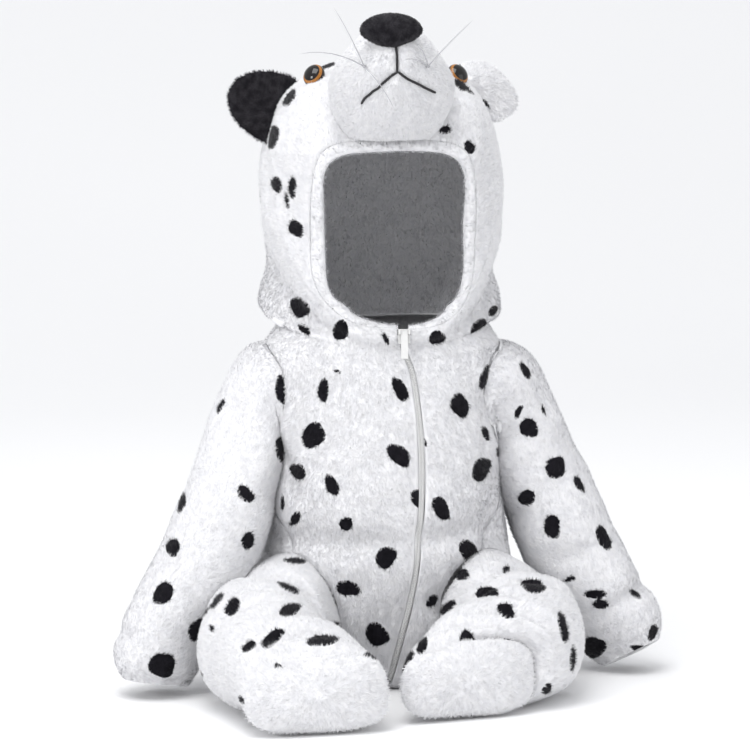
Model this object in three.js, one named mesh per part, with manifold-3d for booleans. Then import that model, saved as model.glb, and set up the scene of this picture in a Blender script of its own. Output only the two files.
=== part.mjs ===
// A baby's hooded, footed plush onesie in snow leopard cloth, filled out as it is worn by a seated child.
// Millimetres, +Z up, the front faces -Y and the wearer's left is +X. The origin is the middle of the neck
// between the shoulders, where the wearer carries the garment. Tables below give heights above the floor.
import * as THREE from "three";
import { mergeVertices } from "three/addons/utils/BufferGeometryUtils.js";
import Module from "manifold-3d";

const wasm = await Module();
wasm.setup();

// Driving sizes
const NECK_HEIGHT = 265; // from the floor up to the origin
const CLOTH = 3; // thickness of the plush cloth
const SEAM_GAP = 0.3; // between neighbouring pieces
const AROUND = 16; // columns round a sleeve or leg
const CLEARANCE = 0.8; // between cloths that press on each other

const { sin, cos, abs, sqrt, exp, min, max, sign, PI } = Math;
const rad = (degrees) => (degrees * PI) / 180;
const vec = (x, y, z) => new THREE.Vector3(x, y, z);
const clamp01 = (value) => min(1, max(0, value));
const smooth = (value) => clamp01(value) ** 2 * (3 - 2 * clamp01(value));
const mix = (a, b, share) => a + (b - a) * share;

// Value of one named column of a table at a fractional row, on a smooth curve through the rows.
function column(table, name, at) {
  const last = table.length - 1;
  const row = min(last - 1, max(0, Math.floor(at)));
  const share = at - row;
  const value = (i) => table[min(last, max(0, i))][name];
  const [a, b, c, d] = [value(row - 1), value(row), value(row + 1), value(row + 2)];
  const slopeIn = row === 0 ? c - b : (c - a) / 2;
  const slopeOut = row === last - 1 ? c - b : (d - b) / 2;
  const s2 = share * share;
  const s3 = s2 * share;
  return (
    b * (2 * s3 - 3 * s2 + 1) + slopeIn * (s3 - 2 * s2 + share) + c * (3 * s2 - 2 * s3) + slopeOut * (s3 - s2)
  );
}

// Radius of a rounded oval (a superellipse) at an angle from its second axis.
const ovalRadius = (angle, acrossHalf, alongHalf, squareness) =>
  ((abs(sin(angle)) / acrossHalf) ** squareness + (abs(cos(angle)) / alongHalf) ** squareness) ** (-1 / squareness);

// Keeps a height above the floor, flattening what would go lower.
const aboveFloor = (height) => (height + sqrt(height * height + 5)) / 2;

// Body: sections from the crotch point underneath to the neck seam
const BODY = [
  { z: 0, half_width: 1.5, front: -51.5, back: -48.5 },
  { z: 0, half_width: 34, front: -70, back: -4 },
  { z: 1.5, half_width: 66, front: -82, back: 44 },
  { z: 10, half_width: 84, front: -90, back: 68 },
  { z: 28, half_width: 96, front: -97, back: 82 },
  { z: 52, half_width: 101, front: -101, back: 87 },
  { z: 78, half_width: 101, front: -103, back: 86 },
  { z: 104, half_width: 97, front: -103, back: 81 },
  { z: 130, half_width: 93, front: -101, back: 75 },
  { z: 156, half_width: 90, front: -97, back: 71 },
  { z: 180, half_width: 89, front: -92, back: 68 },
  { z: 203, half_width: 92, front: -87, back: 67 },
  { z: 224, half_width: 95, front: -82, back: 65 },
  { z: 242, half_width: 96, front: -79, back: 63 },
  { z: 256, half_width: 93, front: -77, back: 60 },
  { z: 267, half_width: 86, front: -76, back: 57 },
  { z: 276, half_width: 79, front: -75, back: 55 },
];
const BODY_TOP = BODY.length - 1;
const BODY_SQUARENESS = 2.2;
const NECK_SCOOP = 14; // how far the neck seam dips at the front
const NECK_SCOOP_ROWS = 3.5;

// The zip's line down the front, in degrees from straight ahead, one for each second body section
const ZIP_LINE = [0, -1.5, 3, 10, 15, 17.5, 16.5, 13, 10].map((turn) => ({ turn }));
const zipAngle = (row) => rad(column(ZIP_LINE, "turn", row / 2));

// Armhole and leg hole: ovals on the body, in degrees round it and in fractional section rows
const ARMHOLE = { angle: 90, half_angle: 30, row: 12.17, half_rows: 2.17 };
const LEG_HOLE = { angle: 52, half_angle: 29, row: 4.87, half_rows: 2.17 };

// Large folds of the body: a trough along a line from one point to another, in degrees and heights
const BODY_FOLDS = [
  { angle_a: -75, z_a: 112, angle_b: 4, z_b: 117, depth: 6, width: 13 },
  { angle_a: 12, z_a: 116, angle_b: 62, z_b: 126, depth: 5, width: 13 },
  { angle_a: 66, z_a: 120, angle_b: 18, z_b: 62, depth: 5, width: 14 },
  { angle_a: -52, z_a: 150, angle_b: -74, z_b: 200, depth: 4, width: 13 },
  { angle_a: 58, z_a: 230, angle_b: 60, z_b: 176, depth: 4, width: 13 },
  { angle_a: 118, z_a: 124, angle_b: 236, z_b: 118, depth: 6, width: 14 },
];
const BODY_RADIUS = 95; // turns fold angles into lengths

// Depth of the folds at a point, as soft troughs that fade out at their ends.
function bodyFoldDepth(angleDegrees, z) {
  let depth = 0;
  for (const fold of BODY_FOLDS) {
    const middle = (fold.angle_a + fold.angle_b) / 2;
    const turn = angleDegrees - 360 * Math.round((angleDegrees - middle) / 360);
    const ax = rad(fold.angle_a) * BODY_RADIUS;
    const bx = rad(fold.angle_b) * BODY_RADIUS;
    const length = Math.hypot(bx - ax, fold.z_b - fold.z_a);
    const ux = (bx - ax) / length;
    const uz = (fold.z_b - fold.z_a) / length;
    const px = rad(turn) * BODY_RADIUS - ax;
    const pz = z - fold.z_a;
    const along = (px * ux + pz * uz) / length;
    const off = px * uz - pz * ux;
    const ends = smooth((along + 0.12) / 0.3) * smooth((1.12 - along) / 0.3);
    depth += fold.depth * ends * exp(-((off / fold.width) ** 2));
  }
  return depth;
}

// A point of the body's outer face: an oval section, less its folds, with the neck scooped at the front.
function bodyPoint(angle, row) {
  const across = column(BODY, "half_width", row);
  const front = column(BODY, "front", row);
  const back = column(BODY, "back", row);
  const height = max(0, column(BODY, "z", row));
  const centre = (front + back) / 2;
  const radius = ovalRadius(angle, across, (back - front) / 2, BODY_SQUARENESS);
  const fold = min(radius * 0.2, bodyFoldDepth((angle * 180) / PI, height));
  const reach = radius - fold;
  const scoop = NECK_SCOOP * smooth((row - BODY_TOP + NECK_SCOOP_ROWS) / NECK_SCOOP_ROWS);
  const frontness = max(0, cos(angle)) ** 1.5;
  return vec(reach * sin(angle), centre - reach * cos(angle), height - scoop * frontness);
}

// Half angle of a hole at a body row, nothing outside the hole.
const holeHalf = (hole, row) => {
  const height = (row - hole.row) / hole.half_rows;
  return abs(height) >= 1 ? 0 : rad(hole.half_angle) * sqrt(1 - height * height);
};
// The side seam runs down from the armhole and forward to the leg hole.
const sideSeam = (row) => rad(mix(LEG_HOLE.angle, ARMHOLE.angle, smooth((row - 6.9) / 2.6)));

// Sleeves and legs: sections along each one. wide is front to back or side to side, tall is the other way,
// turn is where the section faces, from straight ahead towards the outside, and dip how far it looks down.
const SLEEVE_RIGHT = [
  { x: 92, y: -8, z: 222, wide: 40, tall: 40, turn: 90, dip: 0 },
  { x: 93, y: -8, z: 219, wide: 40, tall: 35, turn: 86, dip: 36 },
  { x: 103, y: -21, z: 188, wide: 37, tall: 32, turn: 56, dip: 60 },
  { x: 116, y: -42, z: 151, wide: 36, tall: 34, turn: 45, dip: 60 },
  { x: 130, y: -60, z: 117, wide: 36, tall: 36, turn: 45, dip: 60 },
  { x: 144, y: -73, z: 88, wide: 35, tall: 37, turn: 50, dip: 58 },
  { x: 159, y: -82, z: 62, wide: 34, tall: 37, turn: 58, dip: 60 },
  { x: 172, y: -87, z: 40, wide: 33, tall: 36, turn: 62, dip: 70 },
  { x: 178, y: -90, z: 23, wide: 30, tall: 32, turn: 60, dip: 80 },
  { x: 178, y: -91, z: 10, wide: 22, tall: 25, turn: 60, dip: 80 },
];
const SLEEVE_LEFT = [
  { x: 92, y: -8, z: 222, wide: 40, tall: 40, turn: 90, dip: 0 },
  { x: 95, y: -5, z: 219, wide: 40, tall: 36, turn: 90, dip: 36 },
  { x: 109, y: -3, z: 186, wide: 38, tall: 34, turn: 88, dip: 62 },
  { x: 124, y: -4, z: 150, wide: 37, tall: 36, turn: 80, dip: 66 },
  { x: 139, y: -8, z: 116, wide: 37, tall: 37, turn: 78, dip: 66 },
  { x: 153, y: -12, z: 88, wide: 36, tall: 37, turn: 76, dip: 62 },
  { x: 168, y: -15, z: 62, wide: 35, tall: 35, turn: 74, dip: 62 },
  { x: 181, y: -18, z: 41, wide: 34, tall: 36, turn: 70, dip: 62 },
  { x: 190, y: -22, z: 24, wide: 30, tall: 31, turn: 60, dip: 62 },
  { x: 195, y: -26, z: 14, wide: 22, tall: 24, turn: 56, dip: 60 },
];
const LEG_RIGHT = [
  { x: 76, y: -66, z: 54, wide: 48, tall: 47, turn: 52, dip: 0 },
  { x: 87, y: -92, z: 52, wide: 47, tall: 46, turn: 38, dip: 0 },
  { x: 98, y: -117, z: 48, wide: 46, tall: 45, turn: 18, dip: 2 },
  { x: 102, y: -142, z: 46, wide: 44, tall: 44, turn: 0, dip: 3 },
  { x: 94, y: -168, z: 44, wide: 45, tall: 42, turn: -16, dip: 3 },
  { x: 80, y: -194, z: 41, wide: 48, tall: 38, turn: -20, dip: 4 },
  { x: 70, y: -217, z: 35, wide: 51, tall: 32, turn: -14, dip: 2 },
  { x: 64, y: -237, z: 30, wide: 53, tall: 28, turn: -9, dip: -7 },
];
const LEG_LEFT = [
  { x: 76, y: -66, z: 54, wide: 48, tall: 47, turn: 52, dip: 0 },
  { x: 89, y: -86, z: 52, wide: 47, tall: 46, turn: 44, dip: 0 },
  { x: 101, y: -103, z: 48, wide: 46, tall: 44, turn: 22, dip: 2 },
  { x: 101, y: -124, z: 46, wide: 45, tall: 43, turn: -8, dip: 3 },
  { x: 88, y: -145, z: 44, wide: 46, tall: 42, turn: -20, dip: 3 },
  { x: 70, y: -164, z: 40, wide: 49, tall: 38, turn: -10, dip: 4 },
  { x: 57, y: -179, z: 35, wide: 52, tall: 32, turn: 6, dip: 2 },
  { x: 50, y: -191, z: 30, wide: 54, tall: 28, turn: 19, dip: -7 },
];
const SLEEVE_SQUARENESS = 2.1;
const LEG_SQUARENESS = 2.3;
const JOIN_ROWS = 1.3; // how many sections the hole's shape takes to become the tube's own

// Large folds across each tube: at a section row, centred at an angle round it, slanting rows per turn
const SLEEVE_RIGHT_FOLDS = [
  { row: 1.9, round: 215, span: 150, depth: 4, width: 0.28, slant: 0.5 },
  { row: 3.0, round: 200, span: 120, depth: 4, width: 0.3, slant: -0.9 },
  { row: 4.4, round: 150, span: 130, depth: 3.5, width: 0.3, slant: 1.1 },
  { row: 5.6, round: 250, span: 150, depth: 3.5, width: 0.3, slant: 0.8 },
  { row: 7.1, round: 90, span: 190, depth: 3, width: 0.28, slant: 0.3 },
];
const SLEEVE_LEFT_FOLDS = [
  { row: 1.8, round: 200, span: 150, depth: 4.5, width: 0.28, slant: -0.6 },
  { row: 3.4, round: 230, span: 120, depth: 4, width: 0.3, slant: 0.9 },
  { row: 4.8, round: 170, span: 140, depth: 3.5, width: 0.3, slant: -0.9 },
  { row: 6.5, round: 130, span: 230, depth: 5.5, width: 0.26, slant: 0.3 },
];
const LEG_RIGHT_FOLDS = [
  { row: 1.5, round: 95, span: 170, depth: 7, width: 0.26, slant: 0.7 },
  { row: 2.8, round: 120, span: 150, depth: 4.5, width: 0.26, slant: -0.9 },
  { row: 3.7, round: 60, span: 150, depth: 5, width: 0.28, slant: 0.9 },
  { row: 4.6, round: 130, span: 160, depth: 6, width: 0.26, slant: -0.8 },
  { row: 5.6, round: 80, span: 170, depth: 5.5, width: 0.26, slant: 0.5 },
  { row: 2.2, round: -20, span: 120, depth: 5, width: 0.3, slant: 0.6 },
];
const LEG_LEFT_FOLDS = [
  { row: 1.4, round: 85, span: 170, depth: 5.5, width: 0.26, slant: -0.6 },
  { row: 2.6, round: 70, span: 160, depth: 7, width: 0.28, slant: 0.8 },
  { row: 3.8, round: 115, span: 170, depth: 5, width: 0.26, slant: -0.7 },
  { row: 4.9, round: 60, span: 150, depth: 5.5, width: 0.26, slant: 0.8 },
  { row: 5.7, round: 110, span: 160, depth: 4.5, width: 0.24, slant: -0.5 },
  { row: 2.9, round: 0, span: 110, depth: 5, width: 0.3, slant: -0.6 },
];
const CUFF_GATHERS = 9; // soft pleats that the wrist elastic draws up
const CUFF_GATHER_DEPTH = 1.6;
const CUFF_GATHER_ROWS = 1.6;

// Where a tube's section is and how it stands, with side -1 for the wearer's right.
function tubeFrame(tube, row) {
  const turn = rad(column(tube.table, "turn", row));
  const dip = rad(column(tube.table, "dip", row));
  const facing = vec(sin(turn) * cos(dip), -cos(turn) * cos(dip), -sin(dip));
  const acrossward = vec(cos(turn), sin(turn), 0);
  return {
    centre: vec(column(tube.table, "x", row), column(tube.table, "y", row), column(tube.table, "z", row)),
    facing,
    acrossward,
    upward: facing.clone().cross(acrossward).normalize(),
  };
}

// Radius of a tube's section at an angle from its acrossward axis.
function tubeRadius(tube, round, row) {
  const wide = column(tube.table, "wide", row);
  const tall = column(tube.table, "tall", row);
  let radius = ovalRadius(round, tall, wide, tube.squareness);
  for (const fold of tube.folds) {
    let away = (round * 180) / PI - fold.round;
    away -= 360 * Math.round(away / 360);
    const window = abs(away) < fold.span / 2 ? cos((away / fold.span) * PI) ** 2 : 0;
    const off = (row - fold.row - (fold.slant * away) / 360) / fold.width;
    radius -= fold.depth * window * exp(-off * off);
  }
  const gather = tube.gathers ? smooth((row - tube.table.length + 1 + CUFF_GATHER_ROWS) / CUFF_GATHER_ROWS) : 0;
  return radius - CUFF_GATHER_DEPTH * gather * (1 - cos(CUFF_GATHERS * round)) * 0.5;
}

// Moves a point out of the body where a sleeve presses on it.
function outOfBody(point) {
  let row = 2;
  while (row < BODY_TOP && column(BODY, "z", row) < point.z) row += 0.25;
  const centre = (column(BODY, "front", row) + column(BODY, "back", row)) / 2;
  const away = vec(point.x, point.y - centre, 0);
  const angle = Math.atan2(away.x, -away.y);
  const wall = bodyPoint(angle, row);
  const reach = Math.hypot(wall.x, wall.y - centre) + CLEARANCE;
  if (point.z > BODY[BODY_TOP].z || away.length() >= reach) return point;
  away.setLength(reach);
  return vec(away.x, centre + away.y, point.z);
}

// Moves a point out of another tube, across the section of that tube that it lies in.
function outOfTube(point, tube) {
  const local = vec(point.x * tube.side, point.y, point.z);
  let nearest = null;
  for (let row = 0; row <= tube.table.length - 1; row += 0.125) {
    const frame = tubeFrame(tube, row);
    const away = local.clone().sub(frame.centre);
    const depth = abs(away.dot(frame.facing));
    if (!nearest || depth + 0.02 * away.length() < nearest.score)
      nearest = { score: depth + 0.02 * away.length(), row, frame, away, depth };
  }
  const { frame, away, row } = nearest;
  const across = away.dot(frame.acrossward);
  const up = away.dot(frame.upward);
  const reach = tubeRadius(tube, Math.atan2(up, across), row) + CLEARANCE;
  const distance = Math.hypot(across, up);
  if (nearest.depth > 4 || distance >= reach) return point;
  const push = reach - distance;
  local.addScaledVector(frame.acrossward, (across / distance) * push);
  local.addScaledVector(frame.upward, (up / distance) * push);
  return vec(local.x * tube.side, local.y, local.z);
}

// A point of a sleeve's or leg's outer face: it starts on its hole in the body and becomes an oval section.
function tubePoint(tube, round, row) {
  const angle = rad(tube.hole.angle) + rad(tube.hole.half_angle) * cos(round);
  const start = bodyPoint(angle * tube.side, tube.hole.row + tube.hole.half_rows * sin(round));
  const frame = tubeFrame(tube, row);
  const radius = tubeRadius(tube, round, row);
  const own = frame.centre
    .addScaledVector(frame.acrossward, radius * cos(round))
    .addScaledVector(frame.upward, radius * sin(round));
  own.x *= tube.side;
  const share = smooth(row / JOIN_ROWS);
  let point = start.lerp(own, share);
  if (row > 0.05)
    for (const clear of tube.clears) {
      const free = clear(point);
      point = point.clone().lerp(free, smooth(row / 0.6));
    }
  return vec(point.x, point.y, aboveFloor(point.z));
}

const legRight = { table: LEG_RIGHT, folds: LEG_RIGHT_FOLDS, side: -1, hole: LEG_HOLE, clears: [] };
const legLeft = { table: LEG_LEFT, folds: LEG_LEFT_FOLDS, side: 1, hole: LEG_HOLE, clears: [] };
const sleeveRight = { table: SLEEVE_RIGHT, folds: SLEEVE_RIGHT_FOLDS, side: -1, hole: ARMHOLE, gathers: true };
const sleeveLeft = { table: SLEEVE_LEFT, folds: SLEEVE_LEFT_FOLDS, side: 1, hole: ARMHOLE, gathers: true };
for (const leg of [legRight, legLeft]) leg.squareness = LEG_SQUARENESS;
for (const sleeve of [sleeveRight, sleeveLeft]) sleeve.squareness = SLEEVE_SQUARENESS;
sleeveRight.clears = [outOfBody, (point) => outOfTube(point, legRight)];
sleeveLeft.clears = [outOfBody, (point) => outOfTube(point, legLeft)];

// Hood: loops that grow from the face opening, over the crown, to the neck seam
const HEAD = vec(0, 8, 372); // middle of the hood
const HOOD = { half_width: 93, half_depth: 92, up: 105, down: 104, squareness: 2.55 };
const FACE = { x: 4, z: 348, half_width: 63, half_height: 72, squareness: [2.8, 4.2] }; // below, above
const FACE_EDGE_Y = { bottom: -75, side: -66, top: -88 };
const LOOP_FACE = { middle: -11.5, reach: 38.5 }; // degrees up from straight ahead, and round that
const LOOP_NECK = { middle: 95.5, reach: 148.5 };
const CHIN = { flat: 0.45, fade: 0.8, out: 4 }; // the plain band under the chin, in radians round, and its bulge
const COWL = { at: 0.87, width: 0.075, out: 15 }; // the fold that lies on the shoulders
const HOOD_FOLDS = [
  { round: -72, along: 0.66, span: 60, depth: 9, width: 0.07, slant: 0.25 },
  { round: -100, along: 0.3, span: 70, depth: 4, width: 0.06, slant: -0.3 },
  { round: 84, along: 0.6, span: 60, depth: 5, width: 0.07, slant: -0.2 },
  { round: 172, along: 0.82, span: 90, depth: 5, width: 0.05, slant: 0.1 },
  { round: -150, along: 0.74, span: 70, depth: 5, width: 0.05, slant: 0.2 },
];

// A point of the hood's free form: round is 0 at the zip and +-180 on the centre seam, along is 0 at the
// face edge and 1 at the neck seam.
function hoodForm(round, along) {
  const middle = rad(mix(LOOP_FACE.middle, LOOP_NECK.middle, along));
  const reach = rad(mix(LOOP_FACE.reach, LOOP_NECK.reach, along));
  const look = vec(0, -cos(middle), sin(middle));
  const lift = vec(0, sin(middle), cos(middle));
  const way = look.multiplyScalar(cos(reach)).addScaledVector(lift, -sin(reach) * cos(round));
  way.x += sin(reach) * sin(round);
  const tall = way.z > 0 ? HOOD.up : HOOD.down;
  const n = HOOD.squareness;
  const spread = (abs(way.x) / HOOD.half_width) ** n + (abs(way.y) / HOOD.half_depth) ** n;
  let radius = (spread + (abs(way.z) / tall) ** n) ** (-1 / n);
  radius += COWL.out * exp(-(((along - COWL.at) / COWL.width) ** 2)) * sin(round) ** 2;
  for (const fold of HOOD_FOLDS) {
    let away = (round * 180) / PI - fold.round;
    away -= 360 * Math.round(away / 360);
    const window = abs(away) < fold.span / 2 ? cos((away / fold.span) * PI) ** 2 : 0;
    const off = (along - fold.along - (fold.slant * away) / 180) / fold.width;
    radius -= fold.depth * window * exp(-off * off);
  }
  return HEAD.clone().addScaledVector(way, radius);
}

// The rounded edge of the face opening.
const zipTopX = bodyPoint(zipAngle(BODY_TOP), BODY_TOP).x;
function faceEdge(round) {
  const topness = (1 - cos(round)) / 2;
  const radius = ovalRadius(round, FACE.half_width, FACE.half_height, mix(...FACE.squareness, smooth(topness)));
  const middleX = mix(zipTopX, FACE.x, smooth(abs(round) / 1.2));
  const levelY = mix(FACE_EDGE_Y.bottom, FACE_EDGE_Y.top, topness);
  const sideY = FACE_EDGE_Y.side - (FACE_EDGE_Y.bottom + FACE_EDGE_Y.top) / 2;
  return vec(middleX + radius * sin(round), levelY + sideY * sin(round) ** 2, FACE.z - radius * cos(round));
}
// The neck seam, just above the body's top edge.
function neckSeam(round) {
  const seam = bodyPoint(round + zipAngle(BODY_TOP) * (1 - abs(round) / PI), BODY_TOP);
  seam.z += 4 * SEAM_GAP;
  return seam;
}
// A point of the hood's outer face: the free form drawn to its two seams, with a plain band under the chin.
function hoodPoint(round, along) {
  const face = faceEdge(round);
  const neck = neckSeam(round);
  const point = hoodForm(round, along);
  point.addScaledVector(face.clone().sub(hoodForm(round, 0)), 1 - smooth(along / 0.3));
  point.addScaledVector(neck.clone().sub(hoodForm(round, 1)), smooth((along - 0.78) / 0.22));
  const band = face.lerp(neck, along);
  band.y -= CHIN.out * sin(PI * along);
  return point.lerp(band, 1 - smooth((abs(round) - CHIN.flat) / CHIN.fade));
}

// Unit normal of a face given as a function of two parameters, from small steps along each.
function normalOf(face, a, b, bRange, step = 1e-3) {
  const at = (da, db) => face(a + da, min(bRange[1], max(bRange[0], b + db)));
  const alongA = at(1e-3, 0).sub(at(-1e-3, 0));
  const alongB = at(0, step).sub(at(0, -step));
  return alongA.cross(alongB).normalize();
}

// Cloth wall over a face given as rows of [a, b] pairs. Its outer side is moved by out, its inner side by -deep.
function clothWall(face, rows, { outward, closed = false, bRange, step, out = 0, deep = CLOTH }) {
  const moved = (a, b, offset) =>
    face(a, b).addScaledVector(normalOf(face, a, b, bRange, step), offset * outward);
  const level = (offset) => rows.map((row) => row.map(([a, b]) => moved(a, b, offset)));
  return solidBetween(level(out), level(-deep), closed);
}

// Closed solid between two grids of points, closed round its columns where closed is true.
function solidBetween(outer, inner, closed) {
  const rows = outer.length;
  const columns = outer[0].length;
  const points = [...outer.flat(), ...inner.flat()];
  const at = (level, row, col) => level * rows * columns + row * columns + (col % columns);
  const faces = [];
  const quad = (a, b, c, d) => faces.push([a, b, c], [a, c, d]);
  const spans = closed ? columns : columns - 1;
  for (let row = 0; row < rows - 1; row++)
    for (let col = 0; col < spans; col++) {
      quad(at(0, row, col), at(0, row, col + 1), at(0, row + 1, col + 1), at(0, row + 1, col));
      quad(at(1, row, col), at(1, row + 1, col), at(1, row + 1, col + 1), at(1, row, col + 1));
    }
  for (let col = 0; col < spans; col++) {
    quad(at(0, 0, col), at(1, 0, col), at(1, 0, col + 1), at(0, 0, col + 1));
    quad(at(0, rows - 1, col), at(0, rows - 1, col + 1), at(1, rows - 1, col + 1), at(1, rows - 1, col));
  }
  if (!closed)
    for (let row = 0; row < rows - 1; row++) {
      quad(at(0, row, 0), at(0, row + 1, 0), at(1, row + 1, 0), at(1, row, 0));
      const last = columns - 1;
      quad(at(0, row, last), at(1, row, last), at(1, row + 1, last), at(0, row + 1, last));
    }
  return facingOut(points, faces);
}

// Closed solid from rings of points between two poles.
function solidFromRings(firstPole, rings, lastPole) {
  const columns = rings[0].length;
  const points = [firstPole, ...rings.flat(), lastPole];
  const at = (ring, col) => 1 + ring * columns + (col % columns);
  const end = points.length - 1;
  const faces = [];
  for (let col = 0; col < columns; col++) {
    faces.push([0, at(0, col), at(0, col + 1)]);
    for (let ring = 0; ring < rings.length - 1; ring++) {
      faces.push([at(ring, col), at(ring + 1, col), at(ring + 1, col + 1)]);
      faces.push([at(ring, col), at(ring + 1, col + 1), at(ring, col + 1)]);
    }
    faces.push([end, at(rings.length - 1, col + 1), at(rings.length - 1, col)]);
  }
  return facingOut(points, faces);
}

// Geometry from points and triangles, turned so that its faces point out.
function facingOut(points, faces) {
  let volume = 0;
  for (const [a, b, c] of faces) volume += points[a].dot(points[b].clone().cross(points[c]));
  const index = faces.flatMap(([a, b, c]) => (volume < 0 ? [a, c, b] : [a, b, c]));
  const geometry = new THREE.BufferGeometry();
  geometry.setAttribute("position", new THREE.Float32BufferAttribute(points.flatMap((p) => p.toArray()), 3));
  return geometry.setIndex(index);
}

// Boolean joins and cuts
function toSolid(geometry) {
  const bare = new THREE.BufferGeometry().setAttribute("position", geometry.getAttribute("position").clone());
  if (geometry.index) bare.setIndex(geometry.index.clone());
  const merged = mergeVertices(bare, 1e-3);
  return new wasm.Manifold(
    new wasm.Mesh({
      numProp: 3,
      vertProperties: new Float32Array(merged.attributes.position.array),
      triVerts: new Uint32Array(merged.index.array),
    }),
  );
}
function fromSolid(solid) {
  const mesh = solid.getMesh();
  const positions = new Float32Array(mesh.numVert * 3);
  for (let i = 0; i < mesh.numVert; i++)
    positions.set(mesh.vertProperties.subarray(i * mesh.numProp, i * mesh.numProp + 3), i * 3);
  const geometry = new THREE.BufferGeometry();
  geometry.setAttribute("position", new THREE.BufferAttribute(positions, 3));
  return geometry.setIndex(new THREE.BufferAttribute(mesh.triVerts, 1));
}
const largest = (solid) => solid.decompose().sort((a, b) => b.volume() - a.volume())[0];
const SMALLEST_EDGE = 0.08;
const cutFrom = (geometry, cutters) => {
  const cut = cutters.reduce((solid, cutter) => solid.subtract(cutter), toSolid(geometry));
  return fromSolid(largest(cut.asOriginal().simplify(SMALLEST_EDGE)));
};

// Materials
const paint = (colour, roughness) => new THREE.MeshStandardMaterial({ color: colour, roughness, metalness: 0 });
const spottedPlush = paint(0xecebee, 0.95);
const whitePlush = paint(0xf1efee, 0.95);
const blackPlush = paint(0x141318, 0.95);
const zipWhite = paint(0xf0f0ef, 0.5);
const eyePlastic = paint(0x2a1408, 0.15);
const whiskerNylon = paint(0xe4e4e6, 0.3);

const garment = new THREE.Group();
garment.position.z = -NECK_HEIGHT;
function addPiece(name, geometry, material) {
  const mesh = new THREE.Mesh(geometry, material);
  mesh.name = name;
  garment.add(mesh);
  return mesh;
}

// Body panels: rows shared with the holes, so that sleeves and legs meet them edge to edge
const evenRows = (from, to, count) => Array.from({ length: count + 1 }, (_, i) => mix(from, to, i / count));
const holeRows = (hole) =>
  Array.from({ length: AROUND / 2 + 1 }, (_, i) => hole.row + hole.half_rows * sin(rad(-90 + (360 * i) / AROUND)));
const bodyRows = [
  ...[0, 0.8, 1.6, 2.2],
  ...holeRows(LEG_HOLE),
  ...[7.6, 8.2, 8.8, 9.4],
  ...holeRows(ARMHOLE),
  ...[14.9, 15.45, BODY_TOP],
];
const ZIP_HALF = 2.6; // half of the slot that the zip shows in
const FRONT_COLUMNS = 7;
const BACK_COLUMNS = 13;
const angleFor = (length, row) => length / max(8, column(BODY, "half_width", row));
const sideEdge = (row) => sideSeam(row) - max(holeHalf(ARMHOLE, row), holeHalf(LEG_HOLE, row));
const backEdge = (row) => sideSeam(row) + max(holeHalf(ARMHOLE, row), holeHalf(LEG_HOLE, row));

const bodyRange = [0, BODY_TOP];
function frontPanel(side, grow = 0) {
  const rows = bodyRows.map((row) => {
    const gap = angleFor(SEAM_GAP, row);
    const slot = mix(gap / 2, angleFor(ZIP_HALF, row), smooth((row - 2.1) / 0.5)) - angleFor(grow, row);
    const inner = zipAngle(row) * side + slot;
    const outer = sideEdge(row) - gap + angleFor(grow, row);
    return evenRows(inner, outer, FRONT_COLUMNS).map((angle) => [side * angle, row]);
  });
  return clothWall(bodyPoint, rows, { outward: 1, bRange: bodyRange, out: grow, deep: CLOTH + grow });
}
function backPanel(grow = 0) {
  const rows = bodyRows.map((row) => {
    const inner = backEdge(row) + angleFor(SEAM_GAP - grow, row);
    return evenRows(inner, 2 * PI - inner, BACK_COLUMNS).map((angle) => [angle, row]);
  });
  return clothWall(bodyPoint, rows, { outward: 1, bRange: bodyRange, out: grow, deep: CLOTH + grow });
}
addPiece("front_right", frontPanel(-1), spottedPlush);
addPiece("front_left", frontPanel(1), spottedPlush);
addPiece("back", backPanel(), spottedPlush);
const bodyCuts = [frontPanel(-1, SEAM_GAP), frontPanel(1, SEAM_GAP), backPanel(SEAM_GAP)].map(toSolid);

// Sleeves and legs
const roundSteps = Array.from({ length: AROUND }, (_, i) => rad(-90 + (360 * i) / AROUND));
function tubeWall(tube, rows, grow = 0) {
  const face = (round, row) => tubePoint(tube, round, row);
  return clothWall(
    face,
    rows.map((row) => roundSteps.map((round) => [round, row])),
    { outward: tube.side, closed: true, bRange: [0, tube.table.length - 1], step: 0.15, out: grow, deep: CLOTH + grow },
  );
}
const sleeveRows = [0, 0.3, ...evenRows(0.7, 9, 14)];
const legRows = [0, 0.3, ...evenRows(0.7, 7, 13)];
const legCuts = [legRight, legLeft].map((leg) => toSolid(tubeWall(leg, legRows, SEAM_GAP)));
addPiece("leg_right", cutFrom(tubeWall(legRight, legRows), bodyCuts), spottedPlush);
addPiece("leg_left", cutFrom(tubeWall(legLeft, legRows), bodyCuts), spottedPlush);
addPiece("sleeve_right", cutFrom(tubeWall(sleeveRight, sleeveRows), [...bodyCuts, legCuts[0]]), spottedPlush);
addPiece("sleeve_left", cutFrom(tubeWall(sleeveLeft, sleeveRows), [...bodyCuts, legCuts[1]]), spottedPlush);

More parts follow.
